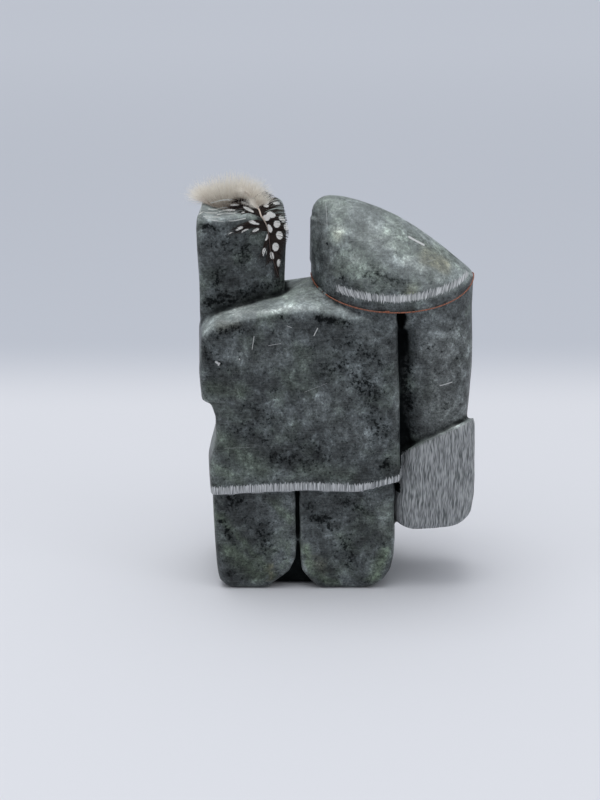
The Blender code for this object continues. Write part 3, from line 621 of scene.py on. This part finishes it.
# Polishing scratches: faint pale lines in three leanings, each a noise drawn out along its line.
LEANINGS = ((38.0, 0.055, 11.0), (-47.0, 0.07, 37.0), (78.0, 0.09, 71.0))  # (degrees, fineness along, shift)
polishing, given, result = new_group("polishing_scratches", [("Place", "Vector")], [("Lines", "Float")])
lines = None
for lean, long, seed in LEANINGS:
    turned = add(polishing, "ShaderNodeMapping", {
        "Vector": given.outputs[0], "Location": (seed, seed, seed),
        "Rotation": (0.0, math.radians(lean), 0.0), "Scale": (long, 0.25, 2.3),
    })
    one = ramp(polishing, noise(polishing, turned.outputs[0], 1.0, 2.0, 0.5), 0.60, 0.74)
    lines = one if lines is None else sums(polishing, "MAXIMUM", lines, one)
polishing.links.new(lines, result.inputs[0])

# One single pale line from a start to an end, a scratch, a speck or the painted gloss line: the distance to
# the segment, with depth counted lightly.
single, given, result = new_group(
    "single_pale_line",
    [("Place", "Vector"), ("Start", "Vector"), ("End", "Vector"), ("Width", "Float")],
    [("Mask", "Float")],
)
tree = single
flat = (1.0, 0.08, 1.0)
here, start, end = (
    vectors(tree, "MULTIPLY", given.outputs[name], flat) for name in ("Place", "Start", "End")
)
run, ahead = vectors(tree, "SUBTRACT", end, start), vectors(tree, "SUBTRACT", here, start)
share = vectors(tree, "DOT_PRODUCT", ahead, run, 1)
share = sums(tree, "DIVIDE", share, vectors(tree, "DOT_PRODUCT", run, run, 1))
share = add(tree, "ShaderNodeClamp", {0: share}).outputs[0]
along_run = add(tree, "ShaderNodeVectorMath", {0: run, "Scale": share}, operation="SCALE").outputs[0]
gap = vectors(tree, "LENGTH", vectors(tree, "SUBTRACT", ahead, along_run), out=1)
near = sums(tree, "DIVIDE", gap, given.outputs["Width"])
tree.links.new(ramp(tree, near, 0.45, 1.15, 1.0, 0.0), result.inputs[0])

# Fur strokes: pale dry scratches side by side, ragged where the trim ends.
strokes, given, result = new_group(
    "fur_strokes",
    [(n, "Float") for n in ("Inside", "Around", "Along", "Mitten")],
    [("Trim", "Float"), ("Strokes", "Float")],
)
tree = strokes
inside, around, along, on_mitten = given.outputs[:4]
lane = add(tree, "ShaderNodeCombineXYZ", {0: around, 1: along}).outputs[0]
sway = noise(tree, vectors(tree, "MULTIPLY", lane, (0.10, 0.075, 0.0)), 1.0, 2.0)
sway = times(tree, sums(tree, "SUBTRACT", sway, 0.5), sums(tree, "MULTIPLY_ADD", on_mitten, 1.2, 1.6))
drawn_out = times(tree, along, sums(tree, "MULTIPLY_ADD", on_mitten, 0.6, 1.0))
lane = add(tree, "ShaderNodeCombineXYZ", {0: sums(tree, "ADD", around, sway), 1: drawn_out}).outputs[0]
broad = noise(tree, vectors(tree, "MULTIPLY", lane, (1.5, 0.07, 0.0)), 1.0, 1.0)
narrow = noise(tree, vectors(tree, "MULTIPLY", lane, (3.4, 0.16, 0.0)), 1.0, 1.0)
hairs = ramp(tree, sums(tree, "MULTIPLY_ADD", narrow, 0.55, times(tree, broad, 0.45)), 0.36, 0.64)
tips = noise(tree, vectors(tree, "MULTIPLY", lane, (1.7, 0.0, 0.0)), 1.0, 2.0, 0.7)
edge = sums(tree, "ADD", inside, sums(tree, "MULTIPLY_ADD", tips, -6.0, 3.2))
tree.links.new(ramp(tree, edge, -0.10, 0.16), result.inputs["Trim"])
tree.links.new(hairs, result.inputs["Strokes"])

STONE = (0.073, 0.084, 0.087, 1.0)
STONE_PALE = (0.200, 0.218, 0.216, 1.0)
STONE_GREEN = (0.118, 0.154, 0.112, 1.0)
STONE_OLIVE = (0.118, 0.112, 0.072, 1.0)
STONE_BLACK = (0.004, 0.005, 0.0055, 1.0)
# Painted light: faces that look up are painted lighter by these factors.
TOP_LIGHT_PAINTED = (3.4, 3.34, 3.22, 1.0)  # how many times lighter a face is that looks up
SCRATCHED = (0.74, 0.755, 0.775, 1.0)
SCRATCHED_DEEP = (0.17, 0.183, 0.19, 1.0)
MITTEN_SHADE = (0.66, 0.67, 0.67, 1.0)  # the mittens' scratches are oiled a little darker
DRY_SCRATCH_AND_GLOSS_LINE = (0.62, 0.63, 0.63, 1.0)
# Single scratches and specks, and one painted gloss line: (start, end, width) on the stone, in millimetres.
SCRATCHES_AND_GLOSS_LINE = (
    ((27.3, -9.8, 141.6), (33.1, -9.3, 138.4), 0.34),
    # Painted highlight: the next line is the gloss line down the crease at the hood's left end, not a
    # scratch.
    ((-4.0, -3.6, 153.3), (-3.5, -9.0, 145.5), 0.07),
    ((40.0, -18.5, 85.3), (44.6, -18.5, 86.6), 0.22),
    ((-8.5, -23.0, 106.8), (-7.1, -23.0, 109.7), 0.20),
    ((-18.6, -23.0, 110.6), (-16.9, -23.0, 109.9), 0.10),
    ((-31.0, -23.0, 106.5), (-31.8, -23.0, 101.5), 0.13),
    ((-25.6, -23.0, 102.9), (-20.9, -23.0, 103.8), 0.08),
    ((-12.0, -23.0, 84.5), (-3.5, -23.0, 88.0), 0.06),
    ((-43.0, -23.0, 61.4), (-24.0, -23.0, 62.3), 0.03),
    ((-36.6, -23.0, 97.4), (-36.6, -23.0, 97.7), 0.25),
    ((-45.5, -23.0, 96.3), (-44.7, -23.0, 95.7), 0.50),
    ((-44.6, -23.0, 95.1), (-44.2, -23.0, 95.8), 0.34),
    # The lowered lids and the mouth of the face.
    ((-42.3, 19.6, 133.1), (-40.3, 19.6, 132.4), 0.20),
    ((-40.3, 19.6, 132.4), (-38.3, 19.6, 133.0), 0.20),
    ((-33.7, 19.6, 133.0), (-31.7, 19.6, 132.4), 0.20),
    ((-31.7, 19.6, 132.4), (-29.7, 19.6, 133.1), 0.20),
    ((-38.6, 19.6, 123.8), (-33.4, 19.6, 123.8), 0.16),
)

soapstone, tree, shader = new_material("oiled_soapstone")
place = vectors(tree, "SUBTRACT", millimetres(tree), tuple(BLOCK_MIDDLE))
marks = add(tree, "ShaderNodeGroup", {0: place}, node_tree=mottling)
polish = add(tree, "ShaderNodeGroup", {0: place}, node_tree=polishing)
fur = add(tree, "ShaderNodeGroup", {n: read(tree, FUR[n]) for n in range(4)}, node_tree=strokes)
scratches_and_gloss_line = None
for start, end, width in SCRATCHES_AND_GLOSS_LINE:
    sockets = {"Place": place, "Start": start, "End": end, "Width": width}
    mark = add(tree, "ShaderNodeGroup", sockets, node_tree=single)
    scratches_and_gloss_line = mark.outputs[0] if scratches_and_gloss_line is None else sums(tree, "MAXIMUM", scratches_and_gloss_line, mark.outputs[0])

tone = add(tree, "ShaderNodeCombineColor", {n: marks.outputs["Tone"] for n in range(3)}).outputs[0]


def toned(colour):
    """A colour times the mottling's tone."""
    return blended(tree, 1.0, colour, tone, "MULTIPLY")


veins = sums(tree, "MULTIPLY_ADD", marks.outputs["Veins"], 0.22, times(tree, polish.outputs["Lines"], 0.28))
green = sums(tree, "MAXIMUM", times(tree, marks.outputs["Green"], 0.30), read(tree, "green_marks"))
colour = blended(tree, green, toned(STONE), toned(STONE_GREEN))
colour = blended(tree, read(tree, "olive_marks"), colour, toned(STONE_OLIVE))
colour = blended(tree, times(tree, read(tree, "pale_marks_and_highlights"), 0.6), colour, toned(STONE_PALE))
colour = blended(tree, veins, colour, STONE_PALE)
# Faces that look up are drier, with less sheen, and painted paler with fainter flecks as painted top light.
# Edges are rubbed pale, and the cut hollows are rough and painted near black as painted shade.
upward = ramp(tree, read(tree, "upward"), 0.02, 0.70)
painted_top_light = blended(tree, 1.0, blended(tree, 0.45, colour, STONE), TOP_LIGHT_PAINTED, "MULTIPLY")
colour = blended(tree, upward, colour, painted_top_light)
dark_marks_and_shade_share = read(tree, "dark_marks_and_shade")
fleck = sums(tree, "MULTIPLY_ADD", dark_marks_and_shade_share, 0.17, marks.outputs["Flecks"])
fleck = sums(tree, "MULTIPLY_ADD", ramp(tree, fleck, 0.52, 0.74), 0.72, times(tree, dark_marks_and_shade_share, 0.66))
fleck = times(tree, fleck, sums(tree, "MULTIPLY_ADD", upward, -0.55, 1.0))
fleck = sums(tree, "MINIMUM", fleck, 0.94)
colour = blended(tree, fleck, colour, STONE_BLACK)
worn = ramp(tree, read(tree, "edge_wear"), 0.05, 0.42)
colour = blended(tree, times(tree, worn, 0.5), colour, toned(STONE_PALE))
# Painted shade: the hollows and the space under the coat are painted near black.
hollow = ramp(tree, read(tree, "hollow"), 0.5, 2.1)
colour = blended(tree, times(tree, hollow, 0.95), colour, STONE_BLACK)
dry = blended(tree, fur.outputs["Strokes"], SCRATCHED_DEEP, SCRATCHED)
dry = blended(tree, read(tree, "fur_mitten"), dry, blended(tree, 1.0, dry, MITTEN_SHADE, "MULTIPLY"))
colour = blended(tree, times(tree, fur.outputs["Trim"], 0.94), colour, dry)
colour = blended(tree, scratches_and_gloss_line, colour, DRY_SCRATCH_AND_GLOSS_LINE)
dryness = sums(tree, "MAXIMUM", sums(tree, "MAXIMUM", fur.outputs["Trim"], scratches_and_gloss_line), hollow)
gloss = sums(tree, "MULTIPLY_ADD", marks.outputs["Grain"], 0.24, 0.30)
gloss = sums(tree, "MULTIPLY_ADD", polish.outputs["Lines"], 0.12, gloss)
# The polish took on the sound stone only, so the black flecks and the hollows have hardly any sheen.
sheen = sums(tree, "SUBTRACT", 1.0, sums(tree, "MAXIMUM", fleck, hollow))
sheen = times(tree, sheen, sums(tree, "MULTIPLY_ADD", upward, -0.4, 1.0))
relief = sums(tree, "MULTIPLY_ADD", marks.outputs["Grain"], 0.30, times(tree, polish.outputs["Lines"], -0.25))
relief = sums(tree, "ADD", relief, times(tree, fur.outputs["Trim"], fur.outputs["Strokes"]))
bump = add(tree, "ShaderNodeBump", {"Height": relief, "Strength": 0.30, "Distance": 0.0001})
fill(tree, shader, {
    "Base Color": colour, "Roughness": ramp(tree, dryness, 0.0, 1.0, gloss, 0.78), "IOR": 1.50,
    "Specular IOR Level": times(tree, sheen, 0.24), "Coat Weight": times(tree, sheen, 0.05),
    "Coat Roughness": 0.13, "Normal": bump.outputs[0],
})
stone.data.materials.clear()
stone.data.materials.append(soapstone)
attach(stone, "root")
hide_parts("soapstone_figure")


# The thread. Two fine plies of waxed, coppery brown thread laid round the hood's neck in its groove.
# Its two ends cross over at the middle of the back.
THREAD_RADIUS = 0.27
COPPER_DARK, COPPER_LIGHT = (0.10, 0.027, 0.012, 1.0), (0.38, 0.115, 0.050, 1.0)
THREAD_ENDS = math.radians(-97.0)  # place of the crossing, counted round the neck
PLY_TURN = 1.6  # millimetres for one turn of the plies


def new_piece(name, places, faces):
    """An object from places in millimetres on the carving and faces, with smooth shading."""
    mesh = bpy.data.meshes.new(name)
    mesh.from_pydata(((places.reshape(-1, 3) + BLOCK_MIDDLE) / 1000.0).tolist(), [], faces)
    mesh.polygons.foreach_set("use_smooth", np.ones(len(mesh.polygons), dtype=bool))
    return stand(name, mesh)


def closed_tube(name, route, radius, across):
    """A tube along a route, with a radius for each of its steps and sides. Its first side lies square to
    the route and to the way across. Both ends are closed, and its faces look outwards."""
    steps, sides = radius.shape
    ahead = np.gradient(route, axis=0)
    ahead /= np.linalg.norm(ahead, axis=1)[:, None]
    out = np.cross(ahead, across)
    out /= np.linalg.norm(out, axis=1)[:, None]
    up = np.cross(out, ahead)
    angle = np.linspace(0.0, 2.0 * math.pi, sides, endpoint=False)[None, :, None]
    places = route[:, None] + radius[..., None] * (np.cos(angle) * out[:, None] + np.sin(angle) * up[:, None])
    grid = np.arange(steps * sides).reshape(steps, sides)
    beside = np.roll(grid, -1, axis=1)
    quads = np.stack((grid[:-1], beside[:-1], beside[1:], grid[1:]), axis=-1).reshape(-1, 4)
    made = new_piece(name, places, quads.tolist() + [grid[0, ::-1].tolist(), grid[-1].tolist()])
    shape = bmesh.new()
    shape.from_mesh(made.data)
    bmesh.ops.recalc_face_normals(shape, faces=shape.faces)
    shape.to_mesh(made.data)
    shape.free()
    return made


steps, sides = ((900, 12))
run = np.linspace(0.0, 1.0, steps)
turn = THREAD_ENDS + run * (2.0 * math.pi + 0.05)
across = HOOD_MIDDLE + HOOD_HALF_WIDTH * np.cos(turn)
depth = HOOD_HALF_DEPTH * np.sin(turn)
route = np.column_stack((across, depth, neck_height(depth) + 0.42 * stepped(run, 0.985, 0.997) - 0.05))
length = np.cumsum(np.linalg.norm(np.gradient(route, axis=0), axis=1))
angle = np.linspace(0.0, 2.0 * math.pi, sides, endpoint=False)
# The cross-section is two lobes, a circle with a wave of two round it, turning along the thread.
radius = THREAD_RADIUS * (0.86 + 0.14 * np.cos(2.0 * (angle - 2.0 * math.pi * length[:, None] / PLY_TURN)))
radius[[0, -1]] *= 0.3
thread = closed_tube("coppery_thread", route, radius, (0.0, 0.0, 1.0))
waxed, tree, shader = new_material("waxed_coppery_thread")
place = millimetres(tree)
fibre = ramp(tree, noise(tree, place, 2.2, 4.0, 0.65), 0.35, 0.65)
fuzz = noise(tree, place, 6.0, 2.0)
bump = add(tree, "ShaderNodeBump", {"Height": fuzz, "Strength": 0.4, "Distance": 0.00005})
fill(tree, shader, {
    "Base Color": blended(tree, fibre, COPPER_DARK, COPPER_LIGHT), "Roughness": 0.42,
    "Coat Weight": 0.25, "Normal": bump.outputs[0],
})
thread.data.materials.append(waxed)
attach(thread, "root")
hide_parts("neck_thread")


# The feather. One body feather of a guinea fowl, about 40 mm long, glued down by its quill on the crown.
# Its vane lies on the hair at the right back corner: dark brown barbs with white dots, whole on the right
# and split into tufts on the left. The down at its base stands up as a soft beige tuft.
HAIR_LEFT, HAIR_RIGHT = (-52.2, -13.5), (-19.6, -5.2)  # (x, y) of the hair's flat back, left and right
CROWN_EDGE, CROWN_LOWEST_X = 147.5, -41.0  # height of the crown's back edge where it is lowest, and where
FARTHEST_BACK = 14.0  # how far over the crown the feather reaches
BARBS_WHOLE, BARB_STEPS, BARB_WIDTH = 210, 22, 0.30
ROD_STEPS, ROD_SIDES = 60, 8
STRANDS = 6400  # of down
ON_QUILL = STRANDS // 16  # strands that lie along the quill
LOCKS = 260  # strands of one lock lean the same way and have one tone
STRAND_STEPS, STRAND_WIDTH, WIDTH_OF_BARBS_AND_GLINT = 8, 0.085, 0.13
BARB_BROWN, BARB_BROWN_LIGHT = (0.010, 0.006, 0.005, 1.0), (0.036, 0.024, 0.020, 1.0)
DOT_WHITE, DOT_WHITE_LIGHT = (0.80, 0.79, 0.76, 1.0), (1.0, 0.99, 0.97, 1.0)
HORN_CREAM, HORN_BROWN = (0.62, 0.52, 0.44, 1.0), (0.10, 0.06, 0.05, 1.0)
DOWN_BEIGE, DOWN_TIP = (0.47, 0.355, 0.28, 1.0), (1.0, 0.96, 0.88, 1.0)
WHITE_OF_BARBS_AND_GLINT = (0.66, 0.68, 0.66, 1.0)
# Points of the feather as laid out flat, (x, z); what is higher than the crown's edge turns back over it.
QUILL = np.array((
    (-34.8, 158.1), (-32.0, 155.4), (-29.8, 151.8), (-28.4, 149.7), (-26.5, 146.7), (-25.7, 143.7),
    (-25.3, 140.1), (-25.0, 136.0), (-24.0, 132.4), (-22.7, 128.4), (-21.9, 125.6),
))
# Barbs of the whole right side: (share of the quill, way in degrees, length).
WHOLE_SIDE = (
    (0.10, 30.0, 6.0), (0.20, 24.0, 8.5), (0.30, 10.0, 9.2), (0.40, -2.0, 8.2), (0.50, -10.0, 8.0),
    (0.60, -20.0, 6.8), (0.70, -33.0, 5.4), (0.80, -52.0, 3.8), (0.90, -68.0, 2.6), (1.00, -75.0, 1.5),
)
# Tufts of the split left side: (from, to on the quill, tip x, tip z, spread of the tips, barbs).
TUFTS = (
    (0.14, 0.20, -41.0, 155.2, 1.1, 26),
    (0.18, 0.27, -42.8, 151.6, 1.5, 44),
    (0.27, 0.33, -38.2, 150.6, 1.3, 36),
    (0.37, 0.42, -37.8, 145.3, 1.4, 36),
    (0.41, 0.47, -41.0, 143.2, 1.8, 34),
    (0.44, 0.50, -33.0, 142.9, 1.4, 24),
    (0.50, 0.62, -28.6, 131.6, 1.1, 18),
    (0.60, 0.80, -26.4, 129.6, 0.9, 20),
    (0.78, 1.00, -22.6, 124.6, 0.6, 16),
)
# White dots on the vane: (x, z, half width, half height, lean in degrees).
DOTS = (
    (-26.4, 148.7, 1.46, 1.24, 0.0), (-24.6, 149.6, 1.75, 1.02, -15.0), (-20.5, 147.9, 0.87, 1.61, 38.0),
    (-22.4, 146.1, 1.28, 1.48, 0.0), (-25.2, 144.5, 0.87, 1.7, 20.0), (-18.9, 144.7, 0.93, 1.42, 15.0),
    (-26.6, 141.4, 0.82, 1.48, 0.0), (-21.5, 141.7, 1.25, 1.7, 15.0), (-23.0, 137.3, 1.25, 1.7, 0.0),
    (-27.2, 135.5, 0.87, 1.7, 0.0), (-24.4, 134.0, 0.76, 1.61, 15.0), (-21.7, 130.9, 0.82, 1.61, 5.0),
    (-26.6, 153.6, 1.05, 0.8, 0.0), (-22.7, 153.2, 1.34, 0.62, -5.0), (-26.6, 152.3, 1.11, 0.53, -10.0),
    (-38.8, 153.4, 1.81, 0.4, 0.0), (-34.9, 153.8, 1.46, 0.49, -25.0), (-33.3, 151.3, 2.48, 0.56, -28.0),
    (-30.3, 152.4, 1.05, 0.8, -20.0), (-35.2, 150.3, 0.58, 0.28, 0.0), (-31.7, 147.4, 1.92, 0.68, -30.0),
    (-29.8, 146.6, 0.87, 0.37, -20.0), (-36.5, 145.1, 1.52, 0.68, 25.0), (-34.3, 143.8, 1.63, 0.93, 25.0),
    (-30.4, 144.2, 1.34, 0.62, 20.0), (-29.4, 149.0, 0.93, 0.4, -25.0), (-41.4, 154.9, 1.2, 0.31, 0.0),
    (-41.0, 151.5, 2.77, 0.40, -5.0), (-38.6, 150.4, 1.17, 0.28, -5.0), (-40.3, 143.5, 1.6, 0.30, 5.0),
)
# Loose white barbs on the left of the crown, each through its points, laid out flat as above. The third is a
# painted highlight: a white line along the crown's glossy back edge.
LOOSE_BARBS_AND_EDGE_GLINT = (
    ((-51.4, 151.0), (-50.1, 151.7), (-48.4, 151.2), (-45.1, 151.1)),
    ((-49.8, 150.2), (-46.5, 149.5), (-42.5, 149.3)),
    # Painted highlight: the next line is a white line along the crown's glossy back edge.
    ((-49.0, 149.6), (-46.2, 148.5), (-42.6, 147.9), (-38.6, 147.9), (-34.1, 148.6)),
    ((-47.8, 154.9), (-45.0, 155.6), (-42.4, 155.9), (-39.6, 155.8)),
    ((-44.5, 151.4), (-41.9, 152.0), (-38.6, 151.8)),
    ((-45.1, 150.3), (-42.2, 150.8), (-38.0, 150.3)),
    ((-51.1, 155.5), (-51.0, 153.2), (-50.9, 151.8)),
    ((-48.6, 152.6), (-46.0, 152.3), (-43.0, 153.0), (-41.4, 152.8)),
)
random = np.random.default_rng(7)


def hair_plane(x):
    """Depth of the hair's flat back at a place along it."""
    share = (x - HAIR_LEFT[0]) / (HAIR_RIGHT[0] - HAIR_LEFT[0])
    return HAIR_LEFT[1] + share * (HAIR_RIGHT[1] - HAIR_LEFT[1])


def crown_edge(x):
    """Height of the crown's back edge: it curls up to the left of its lowest place and rises to the right."""
    away = x - CROWN_LOWEST_X
    lift = 0.035 * np.minimum(away, 0.0) ** 2 + 0.14 * np.maximum(away, 0.0)
    return CROWN_EDGE + lift + 0.07 * (hair_plane(x) - HAIR_LEFT[1])


def laid(x, z, off):
    """Places on the carving for points of the flat layout, some way off the hair. Above the crown's edge
    they go back 3.2 for each 1 up and sink by 0.205 of the way back, so they lie just over the crown."""
    above = np.maximum(z - crown_edge(x), 0.0)
    back = np.minimum(3.2 * above, FARTHEST_BACK)
    lift = 0.5 * np.minimum(above, 1.0) * off
    return np.stack((x + np.zeros_like(back), hair_plane(x) - off + back, z - 0.205 * back + lift), axis=-1)


def along_quill(share):
    """Flat (x, z) on the quill: a smooth curve through its points by share of its length."""
    stations = np.linspace(0.0, 1.0, len(QUILL))
    shifts = (-0.04, 0.0, 0.04)
    eased = [np.interp(share + shift, stations, QUILL[:, k]) for shift in shifts for k in range(2)]
    return np.mean(np.reshape(eased, (3, 2, -1)), axis=0).T


def ribbons(paths, widths, facing):
    """Thin ribbons: for each path (strand, step, xyz), its two edges lie half a width to each side, across
    both the path and the way that it faces. Returns places and faces."""
    ahead = np.gradient(paths, axis=1)
    across = np.cross(ahead, facing)
    across /= np.maximum(np.linalg.norm(across, axis=-1, keepdims=True), 1e-9)
    across = across * widths[..., None] / 2
    sides = np.stack((paths - across, paths + across), axis=2)
    strands, steps = paths.shape[:2]
    index = np.arange(strands * steps * 2).reshape(strands, steps, 2)
    faces = np.stack((index[:, :-1, 0], index[:, :-1, 1], index[:, 1:, 1], index[:, 1:, 0]), axis=-1)
    return sides.reshape(-1, 3), faces.reshape(-1, 4)


def dots_on(flat_x, flat_z):
    """How white the vane is: 1 inside a dot, an ellipse with its own lean, and 0 outside."""
    white = np.zeros(flat_x.shape)
    for x, z, half_width, half_height, lean in DOTS:
        c, s = math.cos(math.radians(lean)), math.sin(math.radians(lean))
        u, v = flat_x - x, flat_z - z
        reach = np.hypot((u * c + v * s) / half_width, (v * c - u * s) / half_height)
        white = np.maximum(white, 1.0 - stepped(reach, 0.82, 1.12))
    return white


# Barbs of the whole side leave the quill on their way, curve towards its tip and end on one line. Those of
# the split side run together into tufts, each on an arc from the quill to its tip.
t = np.linspace(0.0, 1.0, BARB_STEPS)[None, :]
share = np.linspace(WHOLE_SIDE[0][0], 1.0, BARBS_WHOLE)
stations, ways, lengths = np.array(WHOLE_SIDE).T
way = np.interp(share, stations, ways) + random.normal(0.0, 1.2, BARBS_WHOLE)
way = np.radians(way)[:, None] + 0.24 - 0.48 * t
step = (np.interp(share, stations, lengths) / (BARB_STEPS - 1))[:, None]
root = along_quill(share)
flat_x = [root[:, 0, None] + np.cumsum(np.cos(way) * step, axis=1) - np.cos(way[:, :1]) * step]
flat_z = [root[:, 1, None] + np.cumsum(np.sin(way) * step, axis=1) - np.sin(way[:, :1]) * step]
for first, last, tip_x, tip_z, spread, barbs_in_tuft in TUFTS:
    root = along_quill(np.linspace(first, last, barbs_in_tuft))
    strewn = random.normal(0.0, 1.0, (barbs_in_tuft, 2)) * np.array((spread, 0.55 * spread))
    run = (np.array((tip_x, tip_z)) + strewn - root) * random.uniform(0.70, 1.0, (barbs_in_tuft, 1))
    bulge = 0.10 * np.linalg.norm(run, axis=1)[:, None] * np.sin(math.pi * t)
    bulge += 0.12 * np.sin(9.0 * t + 4.0 * root[:, :1])
    flat_x.append(root[:, :1] + run[:, :1] * t)
    flat_z.append(root[:, 1:] + run[:, 1:] * t + bulge)
flat_x, flat_z = np.concatenate(flat_x), np.concatenate(flat_z)
strands = len(flat_x)
whole = np.arange(strands)[:, None] < BARBS_WHOLE
layer = 0.10 * np.sin(np.arange(strands) * 2.4)[:, None]
loose = np.where(whole, 0.25, 0.6) * t**2 * random.uniform(0.0, 1.0, (strands, 1))
paths = laid(flat_x, flat_z, 1.35 + 0.35 * np.sin(math.pi * t) + layer + loose)
widths = BARB_WIDTH * (1.0 - 0.75 * t**3) * np.where(whole, 1.0, 0.62)
barb_places, barb_faces = ribbons(paths, widths, np.array((0.0, -1.0, 0.25)))
vane = new_piece("feather_vane", barb_places, barb_faces.tolist())
give(vane.data, "dot", np.repeat(dots_on(flat_x, flat_z).ravel(), 2))
give(vane.data, "tone", np.repeat(random.uniform(0.0, 1.0, strands), 2 * BARB_STEPS))

barbs, tree, shader = new_material("spotted_barbs")
brown = blended(tree, read(tree, "tone"), BARB_BROWN, BARB_BROWN_LIGHT)
white = blended(tree, noise(tree, millimetres(tree), 1.5, 3.0), DOT_WHITE, DOT_WHITE_LIGHT)
colour = blended(tree, ramp(tree, read(tree, "dot"), 0.25, 0.75), brown, white)
fill(tree, shader, {"Base Color": colour, "Roughness": 0.6, "Specular IOR Level": 0.2})
vane.data.materials.append(barbs)
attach(vane, "root")

# The quill is a round rod that thins towards its tip, cream at the base and brown below.
share = np.linspace(0.08, 1.0, ROD_STEPS)
radius = np.interp(share, (0.0, 0.3, 0.5, 1.0), (0.34, 0.30, 0.14, 0.06))[:, None] * np.ones(ROD_SIDES)
quill = closed_tube("feather_quill", laid(*along_quill(share).T, 2.0), radius, (0.0, 1.0, 0.0))
give(quill.data, "down_the_quill", np.repeat(share, ROD_SIDES))
horn, tree, shader = new_material("quill_horn")
colour = blended(tree, ramp(tree, read(tree, "down_the_quill"), 0.25, 0.62), HORN_CREAM, HORN_BROWN)
fill(tree, shader, {"Base Color": colour, "Roughness": 0.4})
quill.data.materials.append(horn)
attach(quill, "root")

# Down: thousands of fine strands on a line over the crown, fanned from left to right. A strand leaves at
# its own angle, bends outwards, and waves a little on its way. Some lie along the first part of the quill.
place_on_line = random.uniform(-1.0, 1.0, STRANDS)
root = np.column_stack((
    -40.0 + 10.5 * place_on_line + random.normal(0.0, 0.8, STRANDS),
    np.interp(place_on_line, (-1.0, 0.0, 0.6, 1.0), (8.0, 10.0, 7.0, 2.0)) + random.normal(0.0, 2.0, STRANDS),
    np.zeros(STRANDS),
))
root[:, 2] = crown_edge(root[:, 0]) + 0.07 * (root[:, 1] - hair_plane(root[:, 0])) + 0.2
fan = ((-1.0, -0.5, 0.0, 0.5, 1.0), (-58.0, -26.0, 0.0, 24.0, 38.0), (10.0, 13.4, 14.0, 13.0, 6.6))
lock = random.integers(0, LOCKS, STRANDS)
lock_lean, lock_tone = random.normal(0.0, 15.0, LOCKS)[lock], random.uniform(0.0, 1.0, LOCKS)[lock]
lean = np.radians(np.interp(place_on_line, fan[0], fan[1]) + lock_lean + random.normal(0.0, 5.0, STRANDS))
size = np.interp(place_on_line, fan[0], fan[2]) * random.uniform(0.0, 1.0, STRANDS) ** 0.45
size *= 1.0 - 0.3 * np.abs(np.sin(lean)) * (lean < 0.0)
quill_share = random.uniform(0.0, 0.24, ON_QUILL)
root[:ON_QUILL] = laid(*along_quill(quill_share).T, 2.1)
lean[:ON_QUILL] = np.radians(random.normal(-42.0, 12.0, ON_QUILL))
size[:ON_QUILL] = random.uniform(2.4, 5.0, ON_QUILL)
tip_back = random.normal(-0.05, 0.34, STRANDS)
heading = np.column_stack((np.sin(lean), tip_back, np.cos(lean)))
heading /= np.linalg.norm(heading, axis=1)[:, None]
t = np.linspace(0.0, 1.0, STRAND_STEPS)[None, :, None]
outward = np.column_stack((np.sin(lean) * np.abs(np.sin(lean)), tip_back, np.zeros(STRANDS)))
phase = random.uniform(0.0, 2.0 * math.pi, (STRANDS, 1, 3))
wave = 0.34 * np.sin(phase + t * random.uniform(4.0, 9.0, (STRANDS, 1, 1))) * t
down_paths = root[:, None] + heading[:, None] * size[:, None, None] * t + outward[:, None] * 1.4 * t**2 + wave
down_paths[..., 2] -= 0.5 * t[..., 0] ** 2 * np.abs(np.sin(lean))[:, None]
down_paths[..., 2] = np.clip(down_paths[..., 2], root[:, None, 2] - 0.1, 166.0)
facing = random.normal(0.0, 0.6, (STRANDS, 1, 3)) + np.array((0.0, -1.0, 0.3))
down_widths = np.broadcast_to(STRAND_WIDTH * (1.0 - 0.75 * t[..., 0]), down_paths.shape[:2])
down_places, down_faces = ribbons(down_paths, down_widths, facing)
down = new_piece("feather_down", down_places, down_faces.tolist())
give(down.data, "to_tip", np.repeat(np.broadcast_to(t[..., 0], down_paths.shape[:2]).ravel(), 2))
tone = 0.75 * lock_tone + random.uniform(0.0, 0.25, STRANDS)
give(down.data, "tone", np.repeat(tone, 2 * STRAND_STEPS))
fluff, tree, shader = new_material("beige_down")
tip = ramp(tree, sums(tree, "MULTIPLY_ADD", read(tree, "tone"), 0.75, read(tree, "to_tip")), 0.15, 1.1)
fill(tree, shader, {"Base Color": blended(tree, tip, DOWN_BEIGE, DOWN_TIP), "Roughness": 0.8})
down.data.materials.append(fluff)
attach(down, "root")
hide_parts("spotted_feather")

# Loose barbs: a few bent white hairs of the feather that stick to the crown's left edge, and one white line
# along the crown's back edge that is a painted highlight.
t = np.linspace(0.0, 1.0, 24)
barb_and_glint_paths = []
for route in LOOSE_BARBS_AND_EDGE_GLINT:
    stations = np.linspace(0.0, 1.0, len(route))
    flat = [np.interp(t, stations, [point[k] for point in route]) for k in range(2)]
    for shift in (-0.16, 0.0, 0.21):
        barb_and_glint_paths.append(laid(flat[0], flat[1] + shift * np.sin(3.0 * t + flat[0][0]), 0.5))
barb_and_glint_paths = np.array(barb_and_glint_paths)
barb_and_glint_widths = np.full(barb_and_glint_paths.shape[:2], WIDTH_OF_BARBS_AND_GLINT)
barb_and_glint_places, barb_and_glint_faces = ribbons(barb_and_glint_paths, barb_and_glint_widths, np.array((0.0, -1.0, 0.6)))
loose_barbs_and_glint = new_piece("loose_barbs_and_edge_glint", barb_and_glint_places, barb_and_glint_faces.tolist())
barb_and_glint_look, tree, shader = new_material("white_barbs_and_edge_glint")
fill(tree, shader, {"Base Color": WHITE_OF_BARBS_AND_GLINT, "Roughness": 0.5})
loose_barbs_and_glint.data.materials.append(barb_and_glint_look)
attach(loose_barbs_and_glint, "root")
